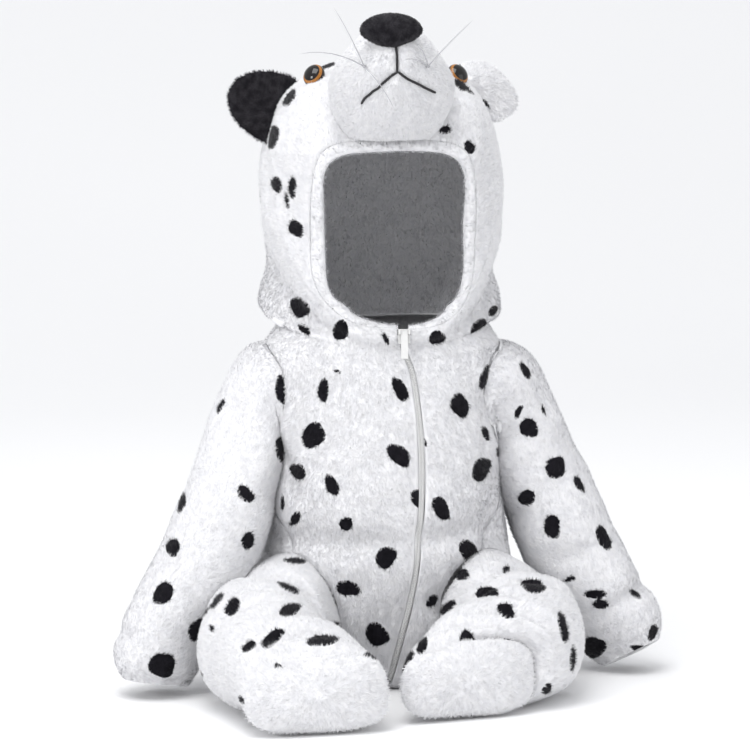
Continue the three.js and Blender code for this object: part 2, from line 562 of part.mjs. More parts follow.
// Soles: plain padded ovals that close the feet
const SOLE = { thick: 3.5, dome: 6, rings: [0.3, 0.6, 0.84, 0.97] };
const soleCuts = (i) => [legCuts[i], legCuts[i].translate([0, -SEAM_GAP, 0])];
function solePad(leg) {
  const row = leg.table.length - 1;
  const frame = tubeFrame(leg, row);
  const facing = vec(frame.facing.x * leg.side, frame.facing.y, frame.facing.z);
  const centre = vec(frame.centre.x * leg.side, frame.centre.y, frame.centre.z);
  const edge = roundSteps.map((round) => tubePoint(leg, round, row));
  const lifted = (share, out) =>
    edge.map((point) => {
      const spot = centre.clone().lerp(point, share).addScaledVector(facing, out + SOLE.dome * (1 - share ** 2.5));
      return vec(spot.x, spot.y, aboveFloor(spot.z));
    });
  const front = SOLE.rings.map((share) => lifted(share, SEAM_GAP + SOLE.thick));
  const back = SOLE.rings.map((share) => lifted(share, SEAM_GAP * 1.5)).reverse();
  const brim = lifted(1, SEAM_GAP + SOLE.thick * 0.55);
  const pole = (out) => centre.clone().addScaledVector(facing, out + SOLE.dome);
  return solidFromRings(pole(SEAM_GAP + SOLE.thick), [...front, brim, ...back], pole(SEAM_GAP * 1.5));
}
addPiece("sole_right", cutFrom(solePad(legRight), soleCuts(0)), whitePlush);
addPiece("sole_left", cutFrom(solePad(legLeft), soleCuts(1)), whitePlush);

// Hood panels, one on each side of the centre seam
const HOOD_COLUMNS = 13;
const HOOD_ROWS = 14;
const HOOD_RADIUS = 90;
const chinSlot = ZIP_HALF / 76;
const hoodAlongs = evenRows(0, 1, HOOD_ROWS);
const hoodRounds = evenRows(chinSlot, PI - SEAM_GAP / 2 / HOOD_RADIUS, HOOD_COLUMNS);
const hoodNormal = (round, along) => normalOf(hoodPoint, round, along, [0, 1]).negate();
const hoodAt = (round, along, out) => hoodPoint(round, along).addScaledVector(hoodNormal(round, along), out);
function hoodPanel(side, grow = 0) {
  const ends = [hoodRounds[0] - grow / 76, PI - (SEAM_GAP / 2 - grow) / HOOD_RADIUS];
  const rounds = [ends[0], ...hoodRounds.slice(1, -1), ends[1]];
  const rows = hoodAlongs.map((along) => rounds.map((round) => [side * round, along]));
  return clothWall(hoodPoint, rows, { outward: -1, bRange: [0, 1], out: grow, deep: CLOTH + grow });
}
const neckCuts = [...bodyCuts, ...bodyCuts.map((cut) => cut.translate([0, 0, SEAM_GAP]))];
addPiece("hood_right", cutFrom(hoodPanel(-1), neckCuts), spottedPlush);
addPiece("hood_left", cutFrom(hoodPanel(1), neckCuts), spottedPlush);
const hoodCuts = [hoodPanel(-1, SEAM_GAP), hoodPanel(1, SEAM_GAP)].map(toSolid);

// Hood lining: it lies inside the hood and rolls out round the face as a plain edge
const LINING = { thick: 2.6, roll: 7, rows: 5, end: 0.15 };
function liningWall(grow = 0) {
  const side = [LINING.end, ...hoodRounds.slice(1, -1)];
  const rounds = [...side, PI, ...side.map((round) => -round).reverse()];
  const level = (offset, forward, along) =>
    rounds.map((round) => {
      const ahead = hoodPoint(round, 0).sub(hoodPoint(round, 0.03)).normalize();
      return hoodAt(round, along, offset).addScaledVector(ahead, forward);
    });
  const deep = CLOTH + 4 * SEAM_GAP - grow;
  const inside = deep + LINING.thick + 2 * grow;
  const alongs = hoodAlongs.slice(1, 1 + LINING.rows);
  const outer = [
    level(grow - 0.6, LINING.roll * 0.35 - grow, 0),
    level(grow - 1.6, SEAM_GAP * 1.5 - grow, 0),
    level(-deep, SEAM_GAP, 0),
    ...alongs.map((along) => level(-deep, 0, along)),
  ];
  const inner = [
    level(-1.6, LINING.roll + grow, 0),
    level(-4.2, LINING.roll * 0.95 + grow, 0),
    level(-inside, LINING.roll * 0.5, 0),
    ...alongs.map((along) => level(-inside, 0, along)),
  ];
  return solidBetween(outer, inner, false);
}
const shellCuts = [...hoodCuts, toSolid(hoodPanel(-1)), toSolid(hoodPanel(1))];
addPiece("hood_lining", cutFrom(liningWall(), shellCuts), whitePlush);

// Muzzle: a stuffed pad on the forehead that points up and forward, cut to sit on the hood
const ellipsoidRings = (centre, axes, radii, rings, columns) => {
  const [a, b, c] = axes;
  const spot = (polar, turn) =>
    centre
      .clone()
      .addScaledVector(a, radii[0] * cos(polar))
      .addScaledVector(b, radii[1] * sin(polar) * cos(turn))
      .addScaledVector(c, radii[2] * sin(polar) * sin(turn));
  return Array.from({ length: rings }, (_, i) => {
    const polar = (PI * (i + 1)) / (rings + 1);
    return Array.from({ length: columns }, (_, j) => spot(polar, (2 * PI * j) / columns));
  });
};
const MUZZLE = { centre: vec(1, -86, 463), tilt: 39, long: 66, tall: 48, wide: 47 };
const muzzleAxis = vec(0, -cos(rad(MUZZLE.tilt)), sin(rad(MUZZLE.tilt)));
const muzzleUp = vec(0, sin(rad(MUZZLE.tilt)), cos(rad(MUZZLE.tilt)));
const sideways = vec(1, 0, 0);
const pole = (centre, axis, radius) => centre.clone().addScaledVector(axis, radius);
function ellipsoid(centre, axes, radii, rings, columns, shaped = (point) => point) {
  return solidFromRings(
    shaped(pole(centre, axes[0], radii[0])),
    ellipsoidRings(centre, axes, radii, rings, columns).map((ring) => ring.map(shaped)),
    shaped(pole(centre, axes[0], -radii[0])),
  );
}
// The snout is narrower and lower towards its top, where the nose sits.
const SNOUT = { from: 455, over: 60, narrow: 0.38, low_from: 470, low: 0.12 };
function snout(point) {
  const share = 1 - SNOUT.narrow * smooth((point.z - SNOUT.from) / SNOUT.over);
  const x = MUZZLE.centre.x + (point.x - MUZZLE.centre.x) * share;
  return vec(x, point.y, point.z - SNOUT.low * max(0, point.z - SNOUT.low_from));
}
// The hood as a filled body, grown by a gap, to cut what sits on it.
function hoodCore(grow) {
  const rounds = [...hoodRounds, ...hoodRounds.map((round) => -round).reverse()];
  const rings = hoodAlongs.map((along) => rounds.map((round) => hoodAt(round, along, grow)));
  const middle = (ring) => ring.reduce((sum, p) => sum.add(p), vec(0, 0, 0)).divideScalar(ring.length);
  return toSolid(solidFromRings(middle(rings[0]), rings, middle(rings[rings.length - 1])));
}
const hoodCut = hoodCore(SEAM_GAP + 0.2);
const liningCut = toSolid(liningWall(SEAM_GAP));
const muzzleShape = ellipsoid(
  MUZZLE.centre,
  [muzzleAxis, muzzleUp, sideways],
  [MUZZLE.long, MUZZLE.tall, MUZZLE.wide],
  13,
  26,
  snout,
);
const faceBlock = facingOut(
  [-1, 1].flatMap((x) => [-170, -60].flatMap((y) => [340, 421.5].map((z) => vec(x * 80, y, z)))),
  [
    [0, 1, 3], [0, 3, 2], [4, 7, 5], [4, 6, 7], [0, 4, 5], [0, 5, 1],
    [2, 3, 7], [2, 7, 6], [0, 2, 6], [0, 6, 4], [1, 5, 7], [1, 7, 3],
  ],
);
addPiece("muzzle", cutFrom(muzzleShape, [hoodCut, liningCut, toSolid(faceBlock)]), spottedPlush);

// Nose: a black plush pad on the muzzle's tip
const NOSE = { centre: vec(-2.6, -137, 503), tilt: 30, deep: 12, tall: 12.5, wide: 22.5 };
const noseAxis = vec(0, -cos(rad(NOSE.tilt)), sin(rad(NOSE.tilt)));
const noseUp = vec(0, sin(rad(NOSE.tilt)), cos(rad(NOSE.tilt)));
const noseShape = ellipsoid(NOSE.centre, [noseAxis, noseUp, sideways], [NOSE.deep, NOSE.tall, NOSE.wide], 6, 14);
const grownMuzzle = toSolid(
  ellipsoid(
    MUZZLE.centre,
    [muzzleAxis, muzzleUp, sideways],
    [MUZZLE.long, MUZZLE.tall, MUZZLE.wide].map((radius) => radius + SEAM_GAP * 1.3),
    13,
    26,
    snout,
  ),
);
addPiece("nose", cutFrom(noseShape, [grownMuzzle]), blackPlush);

// Eyes: domed plastic buttons on each side of the muzzle
const EYE = { round: 148, along: 0.2, across: 17, high: 7 };
function eyeButton(side) {
  const round = side * rad(EYE.round);
  const seat = hoodPoint(round, EYE.along);
  const out = hoodNormal(round, EYE.along);
  const level = vec(0, 0, 1).cross(out).normalize();
  const shape = ellipsoid(seat, [out, level, out.clone().cross(level)], [EYE.high, EYE.across / 2, EYE.across / 2], 6, 12);
  return cutFrom(shape, [hoodCut, grownMuzzle, liningCut]);
}
addPiece("eye_right", eyeButton(-1), eyePlastic);
addPiece("eye_left", eyeButton(1), eyePlastic);

// Ears: a black front and a spotted back, cupped forward, each a padded half oval
const EAR = { half_width: 27, tall: 40, cloth: 3, cup: 7 };
const EAR_RIGHT = { base: vec(-80, 14, 438), up: vec(-0.82, 0.10, 0.36), front: vec(-0.22, -0.94, 0.18), curl: 6 };
const EAR_LEFT = { base: vec(72, 4, 450), up: vec(0.62, -0.45, -0.45), front: vec(-0.35, 0.85, -0.3), curl: 5 };
function earLayer(ear, near, far) {
  const up = ear.up.clone().normalize();
  const front = ear.front.clone().addScaledVector(up, -ear.front.dot(up)).normalize();
  const across = up.clone().cross(front);
  const columns = 14;
  const spot = (share, turn, depth) => {
    const reachUp = share * sin(turn);
    const sideShare = share * cos(turn);
    const rise = reachUp > 0 ? EAR.tall * reachUp : 16 * reachUp;
    const cup = EAR.cup * sideShare ** 2 + ear.curl * max(0, reachUp) ** 2;
    return ear.base
      .clone()
      .addScaledVector(up, rise - cup * 0.1)
      .addScaledVector(across, EAR.half_width * sideShare)
      .addScaledVector(front, cup + depth);
  };
  const ring = (share, depth) => Array.from({ length: columns }, (_, i) => spot(share, (2 * PI * i) / columns, depth));
  return solidFromRings(
    spot(0, 0, near),
    [ring(0.4, near), ring(0.75, near), ring(0.97, near), ring(1, (near + far) / 2), ring(0.97, far), ring(0.75, far), ring(0.4, far)],
    spot(0, 0, far),
  );
}
for (const [name, ear] of [
  ["right", EAR_RIGHT],
  ["left", EAR_LEFT],
]) {
  const half = SEAM_GAP * 0.7;
  const front = earLayer(ear, EAR.cloth + half, half);
  const back = earLayer(ear, -half, -EAR.cloth - half);
  addPiece("ear_" + name + "_front", cutFrom(front, [hoodCut]), blackPlush);
  addPiece("ear_" + name + "_back", cutFrom(back, [hoodCut, toSolid(front)]), spottedPlush);
}

// Zip: one tape with its closed teeth, from the crotch up the front and over the chin band
const ZIP = { tape_half: 7.5, tape: 1.1, teeth_half: 2, teeth_low: 1.2 };
const zipStations = [
  ...bodyRows.filter((row) => row > 2.7).map((row) => {
    const out = normalOf(bodyPoint, zipAngle(row), row, bodyRange);
    return { spot: bodyPoint(zipAngle(row), row), out };
  }),
  ...[11, 7, 3].map((step) => {
    const along = hoodAlongs[step];
    const spot = hoodPoint(0, along);
    return { spot, out: hoodNormal(0.001, along) };
  }),
];
const zipLevel = (half, depth) => (station) => {
  const across = vec(0, 0, 1).cross(station.out).normalize();
  return (side) =>
    station.spot.clone().addScaledVector(station.out, depth).addScaledVector(across, side * half);
};
function zipTape() {
  const top = -CLOTH - 5 * SEAM_GAP;
  const outline = [
    [ZIP.tape_half, top - ZIP.tape], [ZIP.tape_half, top], [ZIP.teeth_half, top], [ZIP.teeth_half, -ZIP.teeth_low],
    [-ZIP.teeth_half, -ZIP.teeth_low], [-ZIP.teeth_half, top], [-ZIP.tape_half, top], [-ZIP.tape_half, top - ZIP.tape],
  ];
  const rings = zipStations.map((station) =>
    outline.map(([across, depth]) => zipLevel(abs(across), depth)(station)(sign(across))),
  );
  const ends = [rings[0], rings[rings.length - 1]].map((ring) =>
    ring.reduce((sum, p) => sum.add(p), vec(0, 0, 0)).divideScalar(ring.length),
  );
  return solidFromRings(ends[0], rings, ends[1]);
}
addPiece("zip_tape", cutFrom(zipTape(), [...hoodCuts, ...bodyCuts]), zipWhite);


// Slider and pull tab: the slider stands at the top of the teeth, and the tab hangs from it and swings up
const SLIDER = { along: 0.42, half_wide: 4.4, half_high: 5.5, stand: 0.5, deep: 2.6, lug_high: 1.5, lug_wide: 1.3 };
const PULL = { half_wide: 2.6, long: 20, thick: 1.4, stand: 4.6, eye_gap: 0.35 };
const sliderSpot = hoodPoint(0, SLIDER.along);
const sliderOut = hoodNormal(0.001, SLIDER.along);
sliderOut.x = 0;
sliderOut.normalize();
const sliderUp = sliderOut.clone().cross(sideways).normalize();
if (sliderUp.z < 0) sliderUp.negate();
// A block on the slider's own axes, given by its ends sideways, upward and outward.
function sliderBlock([x0, x1], [u0, u1], [o0, o1]) {
  const corner = (x, u, o) =>
    sliderSpot.clone().addScaledVector(sideways, x).addScaledVector(sliderUp, u).addScaledVector(sliderOut, o);
  const points = [x0, x1].flatMap((x) => [u0, u1].flatMap((u) => [o0, o1].map((o) => corner(x, u, o))));
  return facingOut(points, [
    [0, 1, 3],
    [0, 3, 2],
    [4, 7, 5],
    [4, 6, 7],
    [0, 4, 5],
    [0, 5, 1],
    [2, 3, 7],
    [2, 7, 6],
    [0, 2, 6],
    [0, 6, 4],
    [1, 5, 7],
    [1, 7, 3],
  ]);
}
const { half_wide: sw, half_high: sh, deep: sd } = SLIDER;
const plate = sliderBlock([-sw, sw], [-sh, sh], [SLIDER.stand, SLIDER.stand + sd]);
const lugAt = PULL.half_wide + PULL.eye_gap;
const lugTop = SLIDER.stand + sd + PULL.stand;
const lug = (side) =>
  sliderBlock([side * lugAt, side * (lugAt + SLIDER.lug_wide)].sort((a, b) => a - b), [1, 4.4], [2, lugTop]);
const sliderSolid = toSolid(plate).add(toSolid(lug(-1))).add(toSolid(lug(1)));
addPiece("zip_slider", fromSolid(sliderSolid), zipWhite);
const tabFrom = SLIDER.stand + sd + 1.2;
const tab = sliderBlock(
  [-PULL.half_wide, PULL.half_wide],
  [2.7 - PULL.long, 4],
  [tabFrom, tabFrom + PULL.thick],
);
addPiece("zip_pull", tab, zipWhite);

// Whiskers: three nylon strands from one small knot on each side of the muzzle
const WHISKERS_RIGHT = [
  { x: -46, y: -148, z: 521, sag_y: -6, sag_z: 4 },
  { x: -71, y: -138, z: 486, sag_y: -4, sag_z: 10 },
  { x: -1, y: -156, z: 445, sag_y: -14, sag_z: 6 },
];
const WHISKERS_LEFT = [
  { x: 57, y: -146, z: 511, sag_y: -6, sag_z: 3 },
  { x: 4, y: -160, z: 482, sag_y: -6, sag_z: 6 },
  { x: 13, y: -164, z: 493, sag_y: -10, sag_z: 8 },
];
const WHISKER = { radius: 0.55, knot: 1.3, root_x: 25, root_y: -134, root_z: 477 };
function strand(root, tip) {
  const end = vec(tip.x, tip.y, tip.z);
  const middle = root.clone().lerp(end, 0.5).add(vec(0, tip.sag_y, tip.sag_z));
  const steps = evenRows(0, 1, 6).map((share) => {
    const start = root.clone().lerp(middle, share);
    return start.lerp(middle.clone().lerp(end, share), share);
  });
  const rings = steps.slice(0, -1).map((spot, i) => {
    const way = steps[i + 1].clone().sub(spot).normalize();
    const side = way.clone().cross(vec(0, 0.3, 1)).normalize();
    const other = way.clone().cross(side);
    const radius = WHISKER.radius * (1 - 0.1 * i);
    return Array.from({ length: 4 }, (_, j) =>
      spot
        .clone()
        .addScaledVector(side, radius * cos((PI * j) / 2))
        .addScaledVector(other, radius * sin((PI * j) / 2)),
    );
  });
  return toSolid(solidFromRings(steps[0].clone(), rings, steps[6]));
}
function whiskers(side, table) {
  const spot = vec(side * WHISKER.root_x + MUZZLE.centre.x, WHISKER.root_y, WHISKER.root_z);
  const out = spot.clone().sub(MUZZLE.centre);
  const reach = sqrt(
    (out.dot(muzzleAxis) / MUZZLE.long) ** 2 + (out.dot(muzzleUp) / MUZZLE.tall) ** 2 + (out.x / MUZZLE.wide) ** 2,
  );
  const root = snout(MUZZLE.centre.clone().addScaledVector(out, 1 / reach));
  root.addScaledVector(out.normalize(), WHISKER.knot + SEAM_GAP + 0.2);
  const axes = [sideways, vec(0, 1, 0), vec(0, 0, 1)];
  const knot = toSolid(ellipsoid(root, axes, [WHISKER.knot, WHISKER.knot, WHISKER.knot], 5, 8));
  const all = table.reduce((sum, tip) => sum.add(strand(root, tip)), knot);
  return fromSolid(largest(all.subtract(grownMuzzle)));
}
addPiece("whiskers_right", whiskers(-1, WHISKERS_RIGHT), whiskerNylon);
addPiece("whiskers_left", whiskers(1, WHISKERS_LEFT), whiskerNylon);

export default garment;
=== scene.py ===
import bpy
import numpy as np
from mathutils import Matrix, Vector


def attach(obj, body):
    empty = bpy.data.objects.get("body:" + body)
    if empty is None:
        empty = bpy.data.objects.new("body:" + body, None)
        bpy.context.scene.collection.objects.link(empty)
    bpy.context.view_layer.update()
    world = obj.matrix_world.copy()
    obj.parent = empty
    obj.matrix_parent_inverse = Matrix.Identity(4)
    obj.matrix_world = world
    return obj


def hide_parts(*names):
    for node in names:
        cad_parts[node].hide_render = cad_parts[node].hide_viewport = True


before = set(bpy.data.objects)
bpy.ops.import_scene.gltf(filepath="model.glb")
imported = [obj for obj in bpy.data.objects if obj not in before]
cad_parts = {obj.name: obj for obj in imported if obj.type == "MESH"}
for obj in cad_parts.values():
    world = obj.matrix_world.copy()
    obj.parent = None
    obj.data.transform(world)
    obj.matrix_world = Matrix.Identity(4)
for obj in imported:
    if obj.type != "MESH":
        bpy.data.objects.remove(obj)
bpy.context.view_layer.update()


# Camera: a long lens a little above the onesie and a little to its right, square on to the zip.
# Distances are in millimetres above the floor, and metre() turns them into the part's own frame.
NECK_HEIGHT = 265.0
CAMERA_TURN, CAMERA_RISE = np.radians(-4.0), np.radians(7.0)
CAMERA_AWAY, MM_PER_PIXEL, PICTURE = 2800.0, 0.78, 750.0
LOOK_AT = np.array([-5.0, 0.0, 232.0])


def metre(points):
    """Floor-based millimetres to metres from the neck: (x, y, z - neck height) / 1000."""
    return (np.asarray(points, float) - [0.0, 0.0, NECK_HEIGHT]) / 1000.0


to_camera = np.array(
    [
        np.sin(CAMERA_TURN) * np.cos(CAMERA_RISE),
        -np.cos(CAMERA_TURN) * np.cos(CAMERA_RISE),
        np.sin(CAMERA_RISE),
    ]
)
picture_right = np.array([np.cos(CAMERA_TURN), np.sin(CAMERA_TURN), 0.0])
picture_up = np.cross(to_camera, picture_right)


def pixel(points):
    """Where points fall in the picture: its middle +- focal length * sideways / distance from the lens."""
    away = points - LOOK_AT
    depth = CAMERA_AWAY - away @ to_camera
    focal = CAMERA_AWAY / MM_PER_PIXEL
    across = PICTURE / 2 + focal * (away @ picture_right) / depth
    down = PICTURE / 2 - focal * (away @ picture_up) / depth
    return np.stack([across, down], -1)


camera_data = bpy.data.cameras.new("camera")
camera_data.lens = 36.0 * CAMERA_AWAY / MM_PER_PIXEL / PICTURE
camera_data.clip_end = 50.0
camera = bpy.data.objects.new("camera", camera_data)
camera.location = Vector(metre(LOOK_AT + to_camera * CAMERA_AWAY))
camera.rotation_mode = "QUATERNION"
camera.rotation_quaternion = Vector(-to_camera).to_track_quat("-Z", "Y")
bpy.context.scene.collection.objects.link(camera)
bpy.context.scene.camera = camera


# Floor and light: a plain pale sweep with soft studio light from above, the left and the front.
# A wide sheet bends up far behind, so that there is no hard line at the horizon.
def add_mesh(name, points, *face_sets):
    """Object from points in metres and arrays of faces, each of one number of sides, set as whole arrays."""
    mesh = bpy.data.meshes.new(name)
    loops = np.concatenate([np.ravel(faces) for faces in face_sets]).astype(np.int32)
    sides = np.concatenate([np.full(len(faces), faces.shape[1], np.int32) for faces in face_sets])
    mesh.vertices.add(len(points))
    mesh.vertices.foreach_set("co", np.asarray(points, np.float32).ravel())
    mesh.loops.add(len(loops))
    mesh.loops.foreach_set("vertex_index", loops)
    mesh.polygons.add(len(sides))
    mesh.polygons.foreach_set("loop_start", np.cumsum(sides, dtype=np.int32) - sides)
    mesh.polygons.foreach_set("use_smooth", np.ones(len(sides), bool))
    mesh.update(calc_edges=True)
    piece = bpy.data.objects.new(name, mesh)
    bpy.context.scene.collection.objects.link(piece)
    return piece


def grid_faces(rows, columns, closed=False):
    """Four-sided faces between a grid's neighbours, and round to the first column where it is closed."""
    row, col = np.meshgrid(np.arange(rows - 1), np.arange(columns - (not closed)), indexing="ij")
    near, far = row * columns + col, row * columns + (col + 1) % columns
    return np.stack([near, far, far + columns, near + columns], -1).reshape(-1, 4)


def capped(points, ends=(0,)):
    """A closed grid's points and faces, with a fan of triangles to a middle point over each given end row."""
    rows, columns = points.shape[:2]
    flat, face_sets = points.reshape(-1, points.shape[-1]), [grid_faces(rows, columns, True)]
    for end in ends:
        ring = np.arange(columns) + (end % rows) * columns
        fan = np.stack([np.roll(ring, -1), ring, np.full(columns, len(flat))], -1)
        flat = np.concatenate([flat, points[end].mean(0)[None]])
        face_sets.append(fan if end == 0 else fan[:, ::-1])
    return flat, face_sets


class Shade:
    """A shader socket that adds Math nodes where it meets +, - and *."""

    def __init__(self, tree, socket=None):
        self.tree, self.socket = tree, socket

    def node(self, kind, settings=None, outlet=0, **sockets):
        """A node of a kind, with its settings first and then its sockets' values or links."""
        made = self.tree.nodes.new("ShaderNode" + kind)
        for key, value in (settings or {}).items():
            if key == "stops":
                ramp = made.color_ramp
                while len(ramp.elements) < len(value):
                    ramp.elements.new(1.0)
                for stop, (place, colour) in zip(ramp.elements, value):
                    stop.position, stop.color = place, (*colour, 1.0)
            else:
                setattr(made, key, value)
        for key, value in sockets.items():
            name = key.replace("_", " ")
            spot = made.inputs[int(name[1:])] if name[0] == "n" and name[1:].isdigit() else made.inputs[name]
            if isinstance(value, Shade):
                self.tree.links.new(value.socket, spot)
            else:
                spot.default_value = value
        return Shade(self.tree, made.outputs[outlet] if made.outputs else None)

    def math(self, operation, other, swap=False):
        pair = (other, self) if swap else (self, other)
        return self.node("Math", {"operation": operation}, n0=pair[0], n1=pair[1])

    def __add__(self, other):
        return self.math("ADD", other)

    __radd__ = __add__

    def __mul__(self, other):
        return self.math("MULTIPLY", other)

    __rmul__ = __mul__

    def __sub__(self, other):
        return self.math("SUBTRACT", other)

    def __rsub__(self, other):
        return self.math("SUBTRACT", other, swap=True)

    def step(self, low, high):
        """0 below low, 1 above high and a smooth rise between."""
        settings = {"interpolation_type": "SMOOTHSTEP"}
        return self.node("MapRange", settings, Value=self, From_Min=low, From_Max=high)

    def tint(self, dark, light):
        """The colour dark where this is 0 and light where it is 1."""
        low = dark if isinstance(dark, Shade) else (*dark, 1.0)
        high = light if isinstance(light, Shade) else (*light, 1.0)
        return self.node("Mix", {"data_type": "RGBA"}, outlet=2, n0=self, n6=low, n7=high)


def new_material(name):
    """An empty node material and the Shade that makes its nodes."""
    material = bpy.data.materials.new(name)
    material.use_nodes = True
    material.node_tree.nodes.clear()
    return material, Shade(material.node_tree)


def cloud(shade, kind="TexNoise", settings=None, **sockets):
    """A pattern laid by an object's own place."""
    return shade.node(kind, settings, Vector=shade.node("TexCoord", outlet=3), **sockets)


def refinish(node, material):
    """Gives a CAD node's own solid a new finish."""
    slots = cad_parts[node].data.materials
    slots.clear()
    slots.append(material)


def surface(shade, **sockets):
    """Joins a Principled shader with these sockets to the material's output."""
    shader = shade.node("BsdfPrincipled", **sockets)
    shade.node("OutputMaterial", Surface=shader)


sweep_material, sweep_shade = new_material("pale_sweep")
sweep_cloud = cloud(sweep_shade, Scale=1.5)
surface(sweep_shade, Base_Color=sweep_cloud.tint((0.93, 0.93, 0.935), (0.96, 0.96, 0.965)), Roughness=0.9)
sweep_run = np.linspace(0.0, 1.0, 40)
sweep_y = -4.0 + 9.0 * sweep_run
sweep_z = 4.0 * np.clip((sweep_run - 0.62) / 0.38, 0, 1) ** 2.2
sweep_points = [[x, y, z - NECK_HEIGHT / 1000] for y, z in zip(sweep_y, sweep_z) for x in (-6.0, 6.0)]
sweep = add_mesh("sweep", np.array(sweep_points), grid_faces(40, 2))
sweep.data.materials.append(sweep_material)

LAMPS = [
    # name, place in metres, wide, power in watts
    ("lamp_above", (-0.4, -0.7, 1.9), 1.3, 25.0),
    ("lamp_front_left", (-1.9, -2.0, 0.9), 0.8, 21.0),
    ("lamp_front_right", (2.0, -1.7, 0.7), 1.8, 10.0),
]
for lamp_name, lamp_place, lamp_wide, lamp_power in LAMPS:
    lamp = bpy.data.lights.new(lamp_name, "AREA")
    lamp.size, lamp.energy = lamp_wide, lamp_power
    lamp_object = bpy.data.objects.new(lamp_name, lamp)
    lamp_object.location = lamp_place
    lamp_object.rotation_mode = "QUATERNION"
    lamp_object.rotation_quaternion = (Vector((0, 0, -0.05)) - Vector(lamp_place)).to_track_quat("-Z", "Y")
    bpy.context.scene.collection.objects.link(lamp_object)
world = bpy.data.worlds.new("studio")
bpy.context.scene.world = world
world.use_nodes = True
world.node_tree.nodes["Background"].inputs[0].default_value = (0.97, 0.98, 1.0, 1.0)
world.node_tree.nodes["Background"].inputs[1].default_value = 0.80
bpy.context.scene.view_settings.view_transform = "Standard"


# Body panels: two fronts on each side of the zip and one back, cut from short soft plush and sewn
# at the shoulders, sides and crotch. They are worked out from the body's sections under the seat to
# the neck seam, with the folds where the child bends at the waist.
BODY = {
    "z": [0, 0, 1.5, 10, 28, 52, 78, 104, 130, 156, 180, 203, 224, 242, 256, 267, 276],
    "half_width": [1.5, 34, 66, 84, 96, 101, 101, 97, 93, 90, 89, 92, 95, 96, 93, 86, 79],
    "front": [-51.5, -70, -82, -90, -97, -101, -103, -103, -101, -97, -92, -87, -82, -79, -77, -76, -75],
    "back": [-48.5, -4, 44, 68, 82, 87, 86, 81, 75, 71, 68, 67, 65, 63, 60, 57, 55],
}
BODY_TOP = 16
BODY_SQUARENESS = 2.2
NECK_SCOOP, NECK_SCOOP_ROWS = 14.0, 3.5
ZIP_LINE = [0, -1.5, 3, 10, 15, 17.5, 16.5, 13, 10]
ARMHOLE = {"angle": 90.0, "half_angle": 30.0, "row": 12.17, "half_rows": 2.17}
LEG_HOLE = {"angle": 52.0, "half_angle": 29.0, "row": 4.87, "half_rows": 2.17}
# angle and height of a fold's two ends, its depth and its width
BODY_FOLDS = [
    (-75, 112, 4, 117, 6.0, 11),
    (12, 116, 62, 126, 5.0, 11),
    (66, 120, 18, 62, 5.0, 12),
    (-52, 150, -74, 200, 4.0, 10),
    (58, 230, 60, 176, 4.0, 10),
    (118, 124, 236, 118, 6.0, 12),
]
FOLD_RADIUS = 95  # radius at which a fold's angles are turned into lengths
SEAM_GAP, ZIP_HALF, CLOTH = 0.3, 2.6, 2.4


def unit(ways):
    """Directions of length one: each row over its own length."""
    return ways / np.linalg.norm(ways, axis=-1, keepdims=True)


def smooth(value):
    """3 v^2 - 2 v^3 of the value held between 0 and 1."""
    held = np.clip(value, 0.0, 1.0)
    return held * held * (3 - 2 * held)


def column(values, at):
    """Value at a fractional row, on the smooth cubic through a column's rows."""
    values, last = np.asarray(values, float), len(values) - 1
    row = np.clip(np.floor(at).astype(int), 0, last - 1)
    t = at - row
    a, b = values[np.maximum(row - 1, 0)], values[row]
    c, d = values[row + 1], values[np.minimum(row + 2, last)]
    slope_in = np.where(row == 0, c - b, (c - a) / 2)
    slope_out = np.where(row == last - 1, c - b, (d - b) / 2)
    t2, t3 = t * t, t * t * t
    ends = b * (2 * t3 - 3 * t2 + 1) + slope_in * (t3 - 2 * t2 + t)
    return ends + c * (3 * t2 - 2 * t3) + slope_out * (t3 - t2)


def oval_radius(angle, across, along, squareness):
    """Radius of a rounded oval: (|sin / across|^n + |cos / along|^n)^(-1/n)."""
    wide = (np.abs(np.sin(angle)) / across) ** squareness
    return (wide + (np.abs(np.cos(angle)) / along) ** squareness) ** (-1 / squareness)


def above_floor(height):
    """(h + sqrt(h^2 + 5)) / 2, which flattens what would go below the floor."""
    return (height + np.sqrt(height * height + 5)) / 2


def body_fold_depth(angle, z):
    """Sum of soft troughs: depth times a Gaussian across each fold's line, faded at its two ends."""
    depth = np.zeros(np.broadcast(angle, z).shape)
    for angle_a, z_a, angle_b, z_b, fold, width in BODY_FOLDS:
        middle = (angle_a + angle_b) / 2
        turn = angle - 360 * np.round((angle - middle) / 360)
        run, rise = np.radians(angle_b - angle_a) * FOLD_RADIUS, z_b - z_a
        length = np.hypot(run, rise)
        x, y = np.radians(turn - angle_a) * FOLD_RADIUS, z - z_a
        along = (x * run + y * rise) / length**2
        off = (x * rise - y * run) / length
        ends = smooth((along + 0.12) / 0.3) * smooth((1.12 - along) / 0.3)
        depth += fold * ends * np.exp(-((off / width) ** 2))
    return depth


def body_point(angle, row):
    """Oval section at an angle round the body and a fractional row, less its folds and the neck's scoop."""
    front, back = column(BODY["front"], row), column(BODY["back"], row)
    height = np.maximum(0, column(BODY["z"], row))
    radius = oval_radius(angle, column(BODY["half_width"], row), (back - front) / 2, BODY_SQUARENESS)
    reach = radius - np.minimum(radius * 0.2, body_fold_depth(np.degrees(angle), height))
    scoop = NECK_SCOOP * smooth((row - BODY_TOP + NECK_SCOOP_ROWS) / NECK_SCOOP_ROWS)
    z = height - scoop * np.maximum(0, np.cos(angle)) ** 1.5
    return np.stack([reach * np.sin(angle), (front + back) / 2 - reach * np.cos(angle), z], -1)


def zip_angle(row):
    """Angle of the zip's line at a body row, from its column for each second row."""
    return np.radians(column(ZIP_LINE, np.asarray(row, float) / 2))


